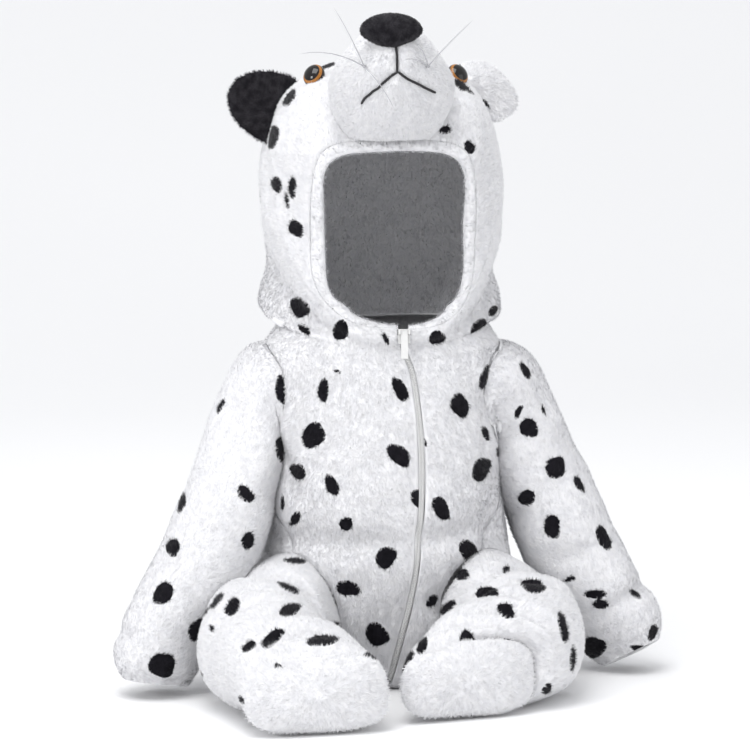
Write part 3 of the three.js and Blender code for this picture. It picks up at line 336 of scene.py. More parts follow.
def hole_half(hole, row):
    """Half angle of a hole at a row: W sqrt(1 - h^2), and 0 outside it."""
    height = np.clip((row - hole["row"]) / hole["half_rows"], -1, 1)
    return np.radians(hole["half_angle"]) * np.sqrt(1 - height * height)


def side_seam(row):
    """Angle of the side seam: under the armhole above, forward at the leg below."""
    share = smooth((row - 6.9) / 2.6)
    return np.radians(LEG_HOLE["angle"] + (ARMHOLE["angle"] - LEG_HOLE["angle"]) * share)


def grid_normals(points, closed=False, inside=None):
    """Unit normals of a grid from the cross product of its two slopes, turned away from its middle."""
    if closed:
        slope_b = np.roll(points, -1, 1) - np.roll(points, 1, 1)
    else:
        slope_b = np.gradient(points, axis=1)
    normals = np.cross(np.gradient(points, axis=0), slope_b)
    normals /= np.linalg.norm(normals, axis=-1, keepdims=True) + 1e-12
    middle = points.mean((0, 1)) if inside is None else inside
    if (normals * (points - middle)).sum() < 0:
        normals = -normals
    return normals


def rumple(points, normals, depth=0.9):
    """Moves cloth along its normals by products of slow sines of its place, as soft plush never lies true."""
    x, y, z = points[..., 0], points[..., 1], points[..., 2]
    wave = np.sin(x / 11 + 1.3 + np.sin(z / 23)) * np.sin(z / 14 + 0.4 + np.sin(y / 19))
    wave += 0.6 * np.sin(y / 7.5 + z / 17 + 2.1) * np.sin(x / 9 - z / 12)
    return points + normals * (depth * wave)[..., None]


def tuck(points, normals, first=(), last=(), depth=1.1, width=4.0):
    """Draws cloth in at its sewn edges by depth * exp(-(distance / width)^2) along the normal."""
    moved = points.copy()
    for axes, backwards in ((first, False), (last, True)):
        for axis in axes:
            line = np.flip(points, axis) if backwards else points
            gaps = np.linalg.norm(np.diff(line, axis=axis), axis=-1)
            start = np.zeros_like(np.take(gaps, [0], axis=axis))
            distance = np.concatenate([start, np.cumsum(gaps, axis)], axis)
            if backwards:
                distance = np.flip(distance, axis)
            moved -= normals * (depth * np.exp(-((distance / width) ** 2)))[..., None]
    return moved


body_rows = np.concatenate(
    [
        np.linspace(0.0, 2.6, 14),
        LEG_HOLE["row"] + LEG_HOLE["half_rows"] * np.sin(np.radians(np.linspace(-90, 90, 40))),
        np.linspace(7.15, 9.9, 20),
        ARMHOLE["row"] + ARMHOLE["half_rows"] * np.sin(np.radians(np.linspace(-90, 90, 40))),
        np.linspace(14.5, 16.0, 10),
    ]
)
row_column = body_rows[:, None]
row_radius = np.maximum(8, column(BODY["half_width"], body_rows))[:, None]
row_gap = SEAM_GAP / row_radius
opening_half = np.maximum(hole_half(ARMHOLE, row_column), hole_half(LEG_HOLE, row_column))
zip_slot = row_gap / 2 + (ZIP_HALF / row_radius - row_gap / 2) * smooth((row_column - 2.1) / 0.5)


def panel_grid(low, high, columns):
    """Body points between two edge angles at each row."""
    share = np.linspace(0, 1, columns)[None, :]
    return body_point(low + (high - low) * share, row_column)


cloth_grids = {}  # each cloth's points, normals, whether it closes round or at a pole, and its kind


def keep_grid(name, points, group, closed=False, inside=None, depth=0.9, pole=False, **seams):
    """Rumples and tucks a piece's grid and keeps it until its spots are known."""
    normals = grid_normals(points, closed, inside)
    points = rumple(points, normals, depth)
    points = tuck(points, normals, **seams)
    cloth_grids[name] = {
        "points": points,
        "normals": grid_normals(points, closed, inside),
        "closed": closed,
        "pole": pole,
        "group": group,
    }


body_axis = np.array([0.0, -12.0, 130.0])
for side_name, side in (("right", -1.0), ("left", 1.0)):
    inner = zip_angle(row_column) * side + zip_slot
    outer = side_seam(row_column) - opening_half - row_gap
    front_points = panel_grid(inner * side, outer * side, 46)
    keep_grid("front_" + side_name, front_points, "spotted", inside=body_axis, first=(1,), last=(1,))
back_inner = side_seam(row_column) + opening_half + row_gap
back_points = panel_grid(back_inner, 2 * np.pi - back_inner, 84)
keep_grid("back", back_points, "spotted", inside=body_axis, first=(1,), last=(1,))


# Legs and sleeves: a tube each, sewn into its hole in the body. The legs bend at the knee and hold the
# feet, and the sleeves hang to the floor, where the wrists are drawn in on elastic and stay open.
SLEEVE_RIGHT = {
    "x": [92, 93, 103, 116, 130, 144, 159, 172, 178, 178],
    "y": [-8, -8, -21, -42, -60, -73, -82, -87, -90, -91],
    "z": [222, 219, 188, 151, 117, 88, 62, 40, 23, 10],
    "wide": [40, 40, 37, 36, 36, 35, 34, 33, 30, 22],
    "tall": [40, 35, 32, 34, 36, 37, 37, 36, 32, 25],
    "turn": [90, 86, 56, 45, 45, 50, 58, 62, 60, 60],
    "dip": [0, 36, 60, 60, 60, 58, 60, 70, 80, 80],
}
SLEEVE_LEFT = {
    "x": [92, 95, 109, 124, 139, 153, 168, 181, 190, 195],
    "y": [-8, -5, -3, -4, -8, -12, -15, -18, -22, -26],
    "z": [222, 219, 186, 150, 116, 88, 62, 41, 24, 14],
    "wide": [40, 40, 38, 37, 37, 36, 35, 34, 30, 22],
    "tall": [40, 36, 34, 36, 37, 37, 35, 36, 31, 24],
    "turn": [90, 90, 88, 80, 78, 76, 74, 70, 60, 56],
    "dip": [0, 36, 62, 66, 66, 62, 62, 62, 62, 60],
}
LEG_RIGHT = {
    "x": [76, 87, 98, 102, 94, 80, 70, 64],
    "y": [-66, -92, -117, -142, -168, -194, -217, -237],
    "z": [54, 52, 48, 46, 44, 41, 35, 30],
    "wide": [48, 47, 46, 44, 45, 48, 51, 53],
    "tall": [47, 46, 45, 44, 42, 38, 32, 28],
    "turn": [52, 38, 18, 0, -16, -20, -14, -9],
    "dip": [0, 0, 2, 3, 3, 4, 2, -7],
}
LEG_LEFT = {
    "x": [76, 89, 101, 101, 88, 70, 57, 50],
    "y": [-66, -86, -103, -124, -145, -164, -179, -191],
    "z": [54, 52, 48, 46, 44, 40, 35, 30],
    "wide": [48, 47, 46, 45, 46, 49, 52, 54],
    "tall": [47, 46, 44, 43, 42, 38, 32, 28],
    "turn": [52, 44, 22, -8, -20, -10, 6, 19],
    "dip": [0, 0, 2, 3, 3, 4, 2, -7],
}
# a fold's row, middle angle, span, depth, width in rows and slant
SLEEVE_RIGHT_FOLDS = [
    (1.9, 215, 150, 4.0, 0.28, 0.5),
    (3.0, 200, 120, 4.0, 0.30, -0.9),
    (4.4, 150, 130, 3.5, 0.30, 1.1),
    (5.6, 250, 150, 3.5, 0.30, 0.8),
    (7.1, 90, 190, 3.0, 0.28, 0.3),
]
SLEEVE_LEFT_FOLDS = [
    (1.8, 200, 150, 4.5, 0.28, -0.6),
    (3.4, 230, 120, 4.0, 0.30, 0.9),
    (4.8, 170, 140, 3.5, 0.30, -0.9),
    (6.5, 130, 230, 5.5, 0.26, 0.3),
]
LEG_RIGHT_FOLDS = [
    (1.5, 95, 170, 9.5, 0.26, 0.7),
    (2.8, 120, 150, 6.1, 0.26, -0.9),
    (3.7, 60, 150, 6.8, 0.28, 0.9),
    (4.6, 130, 160, 8.1, 0.26, -0.8),
    (5.6, 80, 170, 7.4, 0.26, 0.5),
    (2.2, -20, 120, 6.8, 0.30, 0.6),
    (7.0, 45, 100, 11.0, 0.70, 0.0),
]
LEG_LEFT_FOLDS = [
    (1.4, 85, 170, 7.4, 0.26, -0.6),
    (2.6, 70, 160, 9.5, 0.28, 0.8),
    (3.8, 115, 170, 6.8, 0.26, -0.7),
    (4.9, 60, 150, 7.4, 0.26, 0.8),
    (5.7, 110, 160, 6.1, 0.24, -0.5),
    (2.9, 0, 110, 6.8, 0.30, -0.6),
    (7.0, 140, 90, 8.0, 0.70, 0.0),
]
JOIN_ROWS, CLEARANCE = 1.3, 0.8
CUFF_GATHERS, CUFF_GATHER_DEPTH, CUFF_GATHER_ROWS = 9, 1.6, 1.6
FOOT_SQUARER = 1.0


def less_folds(radius, turn, row, folds, slant_over):
    """Takes off each fold's trough: depth times a squared cosine round the piece and a Gaussian along it."""
    for fold_row, middle, span, depth, width, slant in folds:
        away = np.degrees(turn) - middle
        away = away - 360 * np.round(away / 360)
        window = np.where(np.abs(away) < span / 2, np.cos(away / span * np.pi) ** 2, 0)
        off = (row - fold_row - slant * away / slant_over) / width
        radius = radius - depth * window * np.exp(-off * off)
    return radius


def tube_frame(tube, row):
    """Centre of a tube's section and its three directions: facing, acrossward and upward."""
    turn, dip = (np.radians(column(tube["table"][key], row)) for key in ("turn", "dip"))
    facing = np.stack([np.sin(turn) * np.cos(dip), -np.cos(turn) * np.cos(dip), -np.sin(dip)], -1)
    acrossward = np.stack([np.cos(turn), np.sin(turn), 0 * turn], -1)
    centre = np.stack([column(tube["table"][key], row) for key in "xyz"], -1)
    return centre, facing, acrossward, np.cross(facing, acrossward)


def tube_radius(tube, turn, row):
    """Oval radius less each fold's Gaussian trough and the wrist's gathers."""
    wide, tall = (column(tube["table"][key], row) for key in ("wide", "tall"))
    last = len(tube["table"]["x"]) - 1
    squarer = 0.0 if tube["gathers"] else FOOT_SQUARER
    radius = oval_radius(turn, tall, wide, tube["squareness"] + squarer * smooth(row - last + 1.2))
    radius = less_folds(radius, turn, row, tube["folds"], 360)
    if tube["gathers"]:
        gather = smooth((row - last + CUFF_GATHER_ROWS) / CUFF_GATHER_ROWS)
        radius = radius - CUFF_GATHER_DEPTH * gather * (1 - np.cos(CUFF_GATHERS * turn)) * 0.5
    return radius


fine_rows = np.linspace(2, BODY_TOP, 141)
fine_heights = np.maximum.accumulate(column(BODY["z"], fine_rows))


def out_of_body(points):
    """Moves points that are inside the body out to its face, level with where they are."""
    row = np.interp(points[..., 2], fine_heights, fine_rows)
    centre = (column(BODY["front"], row) + column(BODY["back"], row)) / 2
    away_x, away_y = points[..., 0], points[..., 1] - centre
    wall = body_point(np.arctan2(away_x, -away_y), row)
    reach = np.hypot(wall[..., 0], wall[..., 1] - centre) + CLEARANCE
    distance = np.hypot(away_x, away_y)
    grow = np.where((points[..., 2] <= BODY["z"][BODY_TOP]) & (distance < reach), reach / distance, 1.0)
    return np.stack([away_x * grow, centre + away_y * grow, points[..., 2]], -1)


def out_of_tube(points, tube):
    """Moves points that are inside another tube out to its face, across that tube's nearest section."""
    local = points * [tube["side"], 1, 1]
    best = np.full(points.shape[:-1], np.inf)
    moved = local.copy()
    for row in np.arange(0, len(tube["table"]["x"]) - 1 + 1e-9, 0.125):
        centre, facing, acrossward, upward = tube_frame(tube, np.array(row))
        away = local - centre
        depth = np.abs(away @ facing)
        score = depth + 0.02 * np.linalg.norm(away, axis=-1)
        across, up = away @ acrossward, away @ upward
        distance = np.hypot(across, up) + 1e-9
        reach = tube_radius(tube, np.arctan2(up, across), np.array(row)) + CLEARANCE
        push = np.where((depth <= 4) & (distance < reach), reach - distance, 0.0)
        way = (across / distance)[..., None] * acrossward + (up / distance)[..., None] * upward
        nearer = score < best
        best = np.where(nearer, score, best)
        moved = np.where(nearer[..., None], local + way * push[..., None], moved)
    return moved * [tube["side"], 1, 1]


def tube_point(tube, turn, row):
    """Starts on the hole's oval in the body and blends to the tube's own section, clear of its neighbours."""
    hole = tube["hole"]
    angle = np.radians(hole["angle"] + hole["half_angle"] * np.cos(turn))
    start = body_point(angle * tube["side"], hole["row"] + hole["half_rows"] * np.sin(turn))
    centre, _, acrossward, upward = tube_frame(tube, row)
    radius = tube_radius(tube, turn, row)[..., None]
    own = centre + acrossward * radius * np.cos(turn)[..., None] + upward * radius * np.sin(turn)[..., None]
    own = own * [tube["side"], 1, 1]
    share = smooth(row / JOIN_ROWS)[..., None]
    point = start + (own - start) * share
    for clear in tube["clears"]:
        point = point + (clear(point) - point) * smooth(row / 0.6)[..., None]
    point[..., 2] = above_floor(point[..., 2])
    return point


def make_tube(table, folds, side, hole, squareness, gathers=False):
    """A tube's values by name; clears are the pieces that it is moved out of."""
    tube = {"table": table, "folds": folds, "side": side, "hole": hole}
    return tube | {"squareness": squareness, "gathers": gathers, "clears": []}


leg_right = make_tube(LEG_RIGHT, LEG_RIGHT_FOLDS, -1, LEG_HOLE, 2.3)
leg_left = make_tube(LEG_LEFT, LEG_LEFT_FOLDS, 1, LEG_HOLE, 2.3)
sleeve_right = make_tube(SLEEVE_RIGHT, SLEEVE_RIGHT_FOLDS, -1, ARMHOLE, 2.1, gathers=True)
sleeve_left = make_tube(SLEEVE_LEFT, SLEEVE_LEFT_FOLDS, 1, ARMHOLE, 2.1, gathers=True)
sleeve_right["clears"] = [out_of_body, lambda points: out_of_tube(points, leg_right)]
sleeve_left["clears"] = [out_of_body, lambda points: out_of_tube(points, leg_left)]
TUBES = [
    ("leg_right", leg_right, 94, 80),
    ("leg_left", leg_left, 94, 72),
    ("sleeve_right", sleeve_right, 82, 88),
    ("sleeve_left", sleeve_left, 82, 88),
]
for tube_name, tube, columns, rows in TUBES:
    turn = np.radians(-90 + 360 * np.arange(columns) / columns)[None, :]
    row = (np.linspace(0, 1, rows) ** 1.15 * (len(tube["table"]["x"]) - 1))[:, None]
    turn, row = np.broadcast_arrays(turn, row)
    seams = {"first": (0,)} if "sleeve" in tube_name else {"first": (0,), "last": (0,)}
    keep_grid(tube_name, tube_point(tube, turn, row), "spotted", closed=True, **seams)


# the sole's surface: from the foot's end ring to its middle, with a soft crown
SOLE = {"thick": 3.5, "dome": 6.0}
for side_name, leg in (("right", leg_right), ("left", leg_left)):
    side = leg["side"]
    end_row = np.array(float(len(leg["table"]["x"]) - 1))
    centre, facing, _, _ = tube_frame(leg, end_row)
    centre, facing = centre * [side, 1, 1], facing * [side, 1, 1]
    turn = 2 * np.pi * np.arange(112) / 112
    edge = tube_point(leg, turn, np.broadcast_to(end_row, turn.shape))
    share = np.linspace(0.012, 1, 30)[:, None, None]
    puff = SEAM_GAP + SOLE["thick"] * (1 - share**8) + SOLE["dome"] * (1 - share**2.5)
    sole_points = centre + (edge[None] - centre) * share + facing * puff
    sole_points[..., 2] = above_floor(sole_points[..., 2])
    behind = centre - facing * 80
    keep_grid("sole_" + side_name, sole_points, "plain", closed=True, inside=behind, depth=0.5, pole=True)


# Hood: two shell panels joined over the crown, with the chin band that the zip parts. Its loops grow
# from the rounded face opening over the crown to the neck seam, with a cowl fold on the shoulders.
HEAD = np.array([0.0, 8.0, 372.0])
HOOD = {"half_width": 93.0, "half_depth": 92.0, "up": 105.0, "down": 104.0, "squareness": 2.55}
FACE = {"x": 4.0, "z": 348.0, "half_width": 63.0, "half_height": 72.0}
FACE |= {"square_below": 2.8, "square_above": 5.0}
FACE_EDGE_Y = {"bottom": -75.0, "side": -66.0, "top": -88.0}
LOOP_FACE, LOOP_NECK = (-11.5, 38.5), (95.5, 148.5)
CHIN = {"flat": 0.45, "fade": 0.8, "out": 4.0}
COWL = {"at": 0.87, "width": 0.075, "out": 15.0}
HOOD_JOIN = {"face_over": 0.3, "neck_from": 0.78, "neck_over": 0.22}
# a fold's place along, angle round the face, span, depth, width and slant
HOOD_FOLDS = [
    (0.66, -72, 60, 9.0, 0.07, 0.25),
    (0.30, -100, 70, 4.0, 0.06, -0.30),
    (0.60, 84, 60, 5.0, 0.07, -0.20),
    (0.82, 172, 90, 5.0, 0.05, 0.10),
    (0.74, -150, 70, 5.0, 0.05, 0.20),
]


def hood_form(turn, along):
    """Loop directions swung from face to nape, times a rounded box's radius, the cowl and the folds."""
    middle, reach = (np.radians(a + (b - a) * along) for a, b in zip(LOOP_FACE, LOOP_NECK))
    look = np.stack([0 * middle, -np.cos(middle), np.sin(middle)], -1)
    lift = np.stack([0 * middle, np.sin(middle), np.cos(middle)], -1)
    way = look * np.cos(reach)[..., None] - lift * (np.sin(reach) * np.cos(turn))[..., None]
    way[..., 0] += np.sin(reach) * np.sin(turn)
    tall = np.where(way[..., 2] > 0, HOOD["up"], HOOD["down"])
    n = HOOD["squareness"]
    spread = (np.abs(way[..., 0]) / HOOD["half_width"]) ** n + (np.abs(way[..., 1]) / HOOD["half_depth"]) ** n
    radius = (spread + (np.abs(way[..., 2]) / tall) ** n) ** (-1 / n)
    radius += COWL["out"] * np.exp(-(((along - COWL["at"]) / COWL["width"]) ** 2)) * np.sin(turn) ** 2
    radius = less_folds(radius, turn, along, HOOD_FOLDS, 180)
    return HEAD + way * radius[..., None]


zip_top_x = float(body_point(zip_angle(BODY_TOP), np.array(float(BODY_TOP)))[0])


def face_edge(turn):
    """The face opening's rounded oval, set further forward above, where the muzzle sits."""
    topness = (1 - np.cos(turn)) / 2
    squareness = FACE["square_below"] + (FACE["square_above"] - FACE["square_below"]) * smooth(topness)
    radius = oval_radius(turn, FACE["half_width"], FACE["half_height"], squareness)
    middle_x = zip_top_x + (FACE["x"] - zip_top_x) * smooth(np.abs(turn) / 1.2)
    level_y = FACE_EDGE_Y["bottom"] + (FACE_EDGE_Y["top"] - FACE_EDGE_Y["bottom"]) * topness
    side_y = FACE_EDGE_Y["side"] - (FACE_EDGE_Y["bottom"] + FACE_EDGE_Y["top"]) / 2
    y = level_y + side_y * np.sin(turn) ** 2
    return np.stack([middle_x + radius * np.sin(turn), y, FACE["z"] - radius * np.cos(turn)], -1)


def hood_point(turn, along):
    """The free form drawn to the face edge and the neck seam, with a plain band under the chin."""
    turn, along = np.broadcast_arrays(np.asarray(turn, float), np.asarray(along, float))
    face, start, end = face_edge(turn), hood_form(turn, 0 * along), hood_form(turn, 0 * along + 1)
    neck = body_point(turn + zip_angle(BODY_TOP) * (1 - np.abs(turn) / np.pi), 0 * along + BODY_TOP)
    neck[..., 2] += 4 * SEAM_GAP
    point = hood_form(turn, along)
    point = point + (face - start) * (1 - smooth(along / HOOD_JOIN["face_over"]))[..., None]
    near_neck = smooth((along - HOOD_JOIN["neck_from"]) / HOOD_JOIN["neck_over"])
    point = point + (neck - end) * near_neck[..., None]
    band = face + (neck - face) * along[..., None]
    band[..., 1] -= CHIN["out"] * np.sin(np.pi * along)
    flat = 1 - smooth((np.abs(turn) - CHIN["flat"]) / CHIN["fade"])
    return point + (band - point) * flat[..., None]


NECK_LAP = {"down": 2.4, "from": 0.96, "over": 0.04}
hood_along = np.linspace(0, 1, 92)[:, None]
hood_turns = np.linspace(ZIP_HALF / 76, np.pi - 0.0017, 96)[None, :]
for side_name, side in (("right", -1), ("left", 1)):
    hood_points = hood_point(side * hood_turns, hood_along)
    hood_points[..., 2] -= NECK_LAP["down"] * smooth((hood_along - NECK_LAP["from"]) / NECK_LAP["over"])
    keep_grid("hood_" + side_name, hood_points, "spotted", inside=HEAD, first=(1,), last=(1,))


# Muzzle: a stuffed plush pad sewn to the forehead, pointing up and forward, with a sewn mouth that
# draws a soft crease into it. The nose is a small black plush pad on its tip.
MUZZLE = {"centre": np.array([1.0, -86.0, 463.0]), "tilt": 39.0, "long": 66.0, "tall": 48.0, "wide": 47.0}
muzzle_tilt = np.radians(MUZZLE["tilt"])
muzzle_axis = np.array([0, -np.cos(muzzle_tilt), np.sin(muzzle_tilt)])
muzzle_up = np.array([0, np.sin(muzzle_tilt), np.cos(muzzle_tilt)])
sideways = np.array([1.0, 0.0, 0.0])
SNOUT = {"from": 455.0, "over": 60.0, "narrow": 0.38, "low_from": 470.0, "low": 0.12}
MUZZLE_UNDERSIDE = 421.8


def polar_grid(first, last, rows, columns):
    """Angles from a dome's middle, between two in degrees, and round it, as a grid."""
    round_it = 2 * np.pi * np.arange(columns) / columns
    return np.meshgrid(np.radians(np.linspace(first, last, rows)), round_it, indexing="ij")


def dome(centre, ways, sizes, polar, turn):
    """Ellipsoid: centre + a cos(p) way 1 + b sin(p) cos(t) way 2 + c sin(p) sin(t) way 3."""
    point = centre + ways[0] * (sizes[0] * np.cos(polar))[..., None]
    point = point + ways[1] * (sizes[1] * np.sin(polar) * np.cos(turn))[..., None]
    return point + ways[2] * (sizes[2] * np.sin(polar) * np.sin(turn))[..., None]


def snout(point):
    """Narrows sideways by a smooth rise of height, and lowers what stands above its line by a share."""
    point = np.array(point)
    share = 1 - SNOUT["narrow"] * smooth((point[..., 2] - SNOUT["from"]) / SNOUT["over"])
    point[..., 0] = MUZZLE["centre"][0] + (point[..., 0] - MUZZLE["centre"][0]) * share
    point[..., 2] -= SNOUT["low"] * np.maximum(0, point[..., 2] - SNOUT["low_from"])
    return point


def muzzle_point(polar, turn):
    """The muzzle's dome narrowed to its snout, flat where it meets the top of the face."""
    sizes = [MUZZLE[key] for key in ("long", "tall", "wide")]
    point = snout(dome(MUZZLE["centre"], (muzzle_axis, muzzle_up, sideways), sizes, polar, turn))
    point[..., 2] = np.maximum(point[..., 2], MUZZLE_UNDERSIDE)
    return point


muzzle_points = muzzle_point(*polar_grid(0.5, 118, 60, 92))
muzzle_normals = grid_normals(muzzle_points, closed=True)
# the mouth in the picture: down from the nose, then out to each corner
MOUTH = [
    [(396, 44), (397, 58), (397.5, 74)],
    [(398.5, 71), (379, 87), (359, 104)],
    [(396.5, 71.5), (416, 82.5), (436, 94.5)],
]


def on_surface(points, normals, spots):
    """For each place in the picture, the surface point nearest to it that faces the camera."""
    flat, facing = points.reshape(-1, 3), normals.reshape(-1, 3) @ to_camera > 0.05
    seen, seen_pixels = flat[facing], pixel(flat[facing])
    nearest = [int(np.argmin(((seen_pixels - spot) ** 2).sum(1))) for spot in spots]
    return seen[nearest], normals.reshape(-1, 3)[facing][nearest]


def spread_line(points, count):
    """Even points on the broken line through some points."""
    gaps = np.linalg.norm(np.diff(points, axis=0), axis=1)
    run = np.concatenate([[0], np.cumsum(gaps)])
    even = np.linspace(0, run[-1], count)
    return np.stack([np.interp(even, run, points[:, k]) for k in range(points.shape[1])], -1)


MOUTH_CREASE = {"deep": 1.8, "wide": 4.0}
mouth_lines = []
for stroke in MOUTH:
    stroke_pixels = spread_line(np.array(stroke, float), 14)
    stroke_points, stroke_normals = on_surface(muzzle_points, muzzle_normals, stroke_pixels)
    mouth_lines.append((spread_line(stroke_points, 40), stroke_normals.mean(0)))
mouth_all = np.concatenate([line for line, _ in mouth_lines])
mouth_distance = np.min(
    np.linalg.norm(muzzle_points[:, :, None, :] - mouth_all[None, None, ::2, :], axis=-1), axis=-1
)
crease = MOUTH_CREASE["deep"] * np.exp(-((mouth_distance / MOUTH_CREASE["wide"]) ** 2))
muzzle_points = muzzle_points - muzzle_normals * crease[..., None]
keep_grid("muzzle", muzzle_points, "spotted", closed=True, inside=MUZZLE["centre"], depth=0.7, pole=True)


# Ears: a black plush front and a white spotted back each. The wearer's right ear stands with its
# black front showing, and the left one flops over and shows its back, with a crease near its tip.
EAR = {"half_width": 27.0, "tall": 40.0, "low": 16.0, "cloth": 3.0, "cup": 7.0}
EAR_RIGHT = {"base": (-80, 14, 438), "up": (-0.82, 0.10, 0.36), "front": (-0.22, -0.94, 0.18)}
EAR_LEFT = {"base": (69, 4, 460), "up": (0.62, -0.45, -0.45), "front": (-0.35, 0.85, -0.30)}
EAR_RIGHT |= {"curl": 6.0, "size": 1.0}
EAR_LEFT |= {"curl": 5.0, "size": 1.08}


def ear_point(ear, share, turn, depth):
    """A half oval: tall sin(t) upward and half_width cos(t) across, cupped by the square of each."""
    up = np.array(ear["up"]) / np.linalg.norm(ear["up"])
    front = np.array(ear["front"]) - up * np.dot(ear["front"], up)
    front /= np.linalg.norm(front)
    high, wide = ear["size"] * share * np.sin(turn), ear["size"] * share * np.cos(turn)
    rise = np.where(high > 0, EAR["tall"] * high, EAR["low"] * high)
    cup = EAR["cup"] * wide**2 + ear["curl"] * np.maximum(0, high) ** 2
    point = np.array(ear["base"], float) + up * (rise - cup * 0.1)[..., None]
    point = point + np.cross(up, front) * (EAR["half_width"] * wide)[..., None]
    return point + front * (cup + depth)[..., None], front


ear_share, ear_turn = np.meshgrid(np.linspace(0.02, 1, 22), 2 * np.pi * np.arange(60) / 60, indexing="ij")
for side_name, ear in (("right", EAR_RIGHT), ("left", EAR_LEFT)):
    for layer, way in (("front", 1), ("back", -1)):
        puff = EAR["cloth"] * np.sqrt(1 - 0.98 * ear_share**4)
        share = ear_share * (0.94 if (side_name, layer) == ("left", "front") else 1.0)
        ear_points, ear_front = ear_point(ear, share, ear_turn, way * (0.3 + puff))
        inside = np.array(ear["base"], float) - ear_front * way * 60
        keep_grid(
            "ear_" + side_name + "_" + layer,
            ear_points,
            "spotted" if layer == "back" else "plain",
            closed=True,
            inside=inside,
            depth=0.3,
            pole=True,
        )


# Spots: black ovals knitted into the plush. Those that show are set by their middles in the picture,
# and the rest are scattered as thickly over the sides that it doesn't show.
# across and down in the picture, half length and half height in pixels there, and tilt in degrees
SPOTS = {
    "torso": [
        (323.5, 390, 12.5, 5.5, 88), (400, 389, 13.5, 6.5, -63), (459.5, 405, 12.5, 9, -67),
        (314, 435, 13.5, 11, 70), (298, 471, 9.5, 7, -50), (332, 485, 12, 6.2, -65),
        (399, 455, 14.5, 8.7, -45), (481, 469, 13, 8.5, 65), (484.5, 377, 13, 4.6, 72),
        (485, 433, 8, 3.6, -70), (498, 451, 5.5, 3, 80), (417, 498, 9.7, 6.3, -75),
        (441, 508, 13.5, 7.6, -62), (346, 523.5, 7.6, 6.6, 20), (295, 518.5, 9.5, 4.6, 55),
        (386, 557, 12, 9.7, 50), (468, 550, 11.5, 8.5, -60), (295, 561.5, 11, 3.3, -4),
        (348, 588, 13, 7.6, -8), (377, 634, 13.5, 10.5, -40), (462.5, 575, 7.8, 5.9, 5),
        (432, 600.5, 7.6, 4.9, 50), (405, 663, 13, 6, 60), (337, 371, 4.5, 1.6, -20),
        (425.5, 442.5, 4.2, 1.6, -80), (282.5, 503, 9, 2.2, 88),
    ],
    "right sleeve": [
        (282, 390.5, 15, 6.9, -80), (221, 406.5, 8.5, 2.6, 62), (283, 450.5, 15, 7.6, -80),
        (245.5, 494.5, 10.5, 6.6, -45), (182, 504, 10.5, 3.4, 74), (247.5, 541, 9.2, 6.4, 78),
        (173, 548, 9.2, 7.1, 85), (163, 594, 12.5, 9.2, 55), (197, 630.5, 12.5, 8.5, 65),
        (162, 665.5, 13.5, 12.2, 0),
    ],
    "left sleeve": [
        (525.5, 371, 9.5, 3.9, -62), (518.5, 412, 8, 3.1, 62), (529, 428.5, 10.5, 9, -50),
        (543.5, 411, 6.5, 1.8, -68), (555.5, 468, 11.5, 10, 75), (579, 484.5, 9.8, 3.9, -60),
        (527, 498, 9, 8, 20), (552.5, 527, 12.5, 8.3, -85), (603.5, 538.5, 13.5, 6.2, -65),
        (570.5, 579.5, 7.8, 2.8, 12), (595.5, 594.5, 12.5, 4.3, 0), (601, 605, 8.5, 4.4, 0),
        (634.5, 594, 8, 3, -35), (652.5, 633, 8.5, 4.3, 70), (641, 649.5, 11, 3.9, -12),
        (593, 648, 13.5, 10.6, 15),
    ],
    "right leg": [
        (217.5, 601.5, 10, 3.4, 52), (205.5, 613, 6, 2.2, 55), (233, 607.5, 10.5, 6.6, 60),
        (212.5, 628.5, 4.6, 2.6, -60), (288, 588.5, 12.5, 3.2, -25), (290, 610.5, 11.5, 6.1, 20),
        (249.5, 646.5, 8.5, 4.6, 35), (273, 638.5, 14, 6.3, 40), (279.5, 671, 8, 4.6, -75),
        (322.5, 641, 16.5, 5.3, 5), (336.5, 624, 5.5, 1.9, -42), (369, 661, 9.5, 7, 55),
        (243.5, 700.5, 5.5, 3, -45), (202.5, 675, 4.5, 1.8, -75),
    ],
    "left leg": [
        (448.5, 607.5, 10.5, 4.4, 42), (488, 595, 12, 8, -12), (505.5, 611, 10, 7, -35),
        (533, 586.5, 12.5, 7.1, -12), (506.5, 570, 4.6, 3.6, 20), (562.5, 627, 16.5, 4.3, -78),
        (572.3, 659, 13.5, 2.9, 88), (546.5, 689, 6.5, 4.1, 50), (466, 641, 10.5, 7.6, 85),
        (422.5, 647, 10, 4.6, 70),
    ],
    "hood": [
        (290, 98.5, 10, 4.6, 55), (272.5, 137.5, 12, 7, 72), (277.5, 185, 8.5, 5.4, -75),
        (293, 188, 11.5, 3.9, 88), (287.5, 201, 9, 2, -85), (296.5, 229, 9.5, 7.1, -50),
        (300, 307, 11.5, 9, -55), (304, 329, 7.5, 4.1, -40), (340.5, 330, 10.5, 8, 80),
        (385.5, 338, 7, 2.6, -65), (401.5, 335, 8, 3, -60), (437, 338, 8.5, 7.6, 45),
        (479, 329.5, 11.5, 8, 70), (493, 310.5, 6.5, 3.9, 50), (469, 147.5, 7.5, 5.1, -60),
        (456, 72, 15, 7.0, -62), (326.5, 67.5, 10, 7, 35),
    ],
    "muzzle": [(444.5, 130.5, 7, 4.6, 0)],
    "left ear": [(467.5, 58.5, 5.2, 2.4, -10), (486, 104, 7, 2, -55)],
}
PICTURE_CELL, PICTURE_CELLS, SPOT_APART, SPOT_CLEAR = 4, 200, 36.0, 12.0
NO_SPOT = -20.0  # depth inside a spot that plain plush is given
SPOT_SEARCH = 14  # pixels from a spot's place in the picture within which cloth has to show
SPOT_REACH, SPOT_TRIES, SEEN_DEPTH = 28, 9000, 12
spotted_names = [name for name, grid in cloth_grids.items() if grid["group"] == "spotted"]
all_points = np.concatenate([cloth_grids[name]["points"].reshape(-1, 3) for name in cloth_grids])
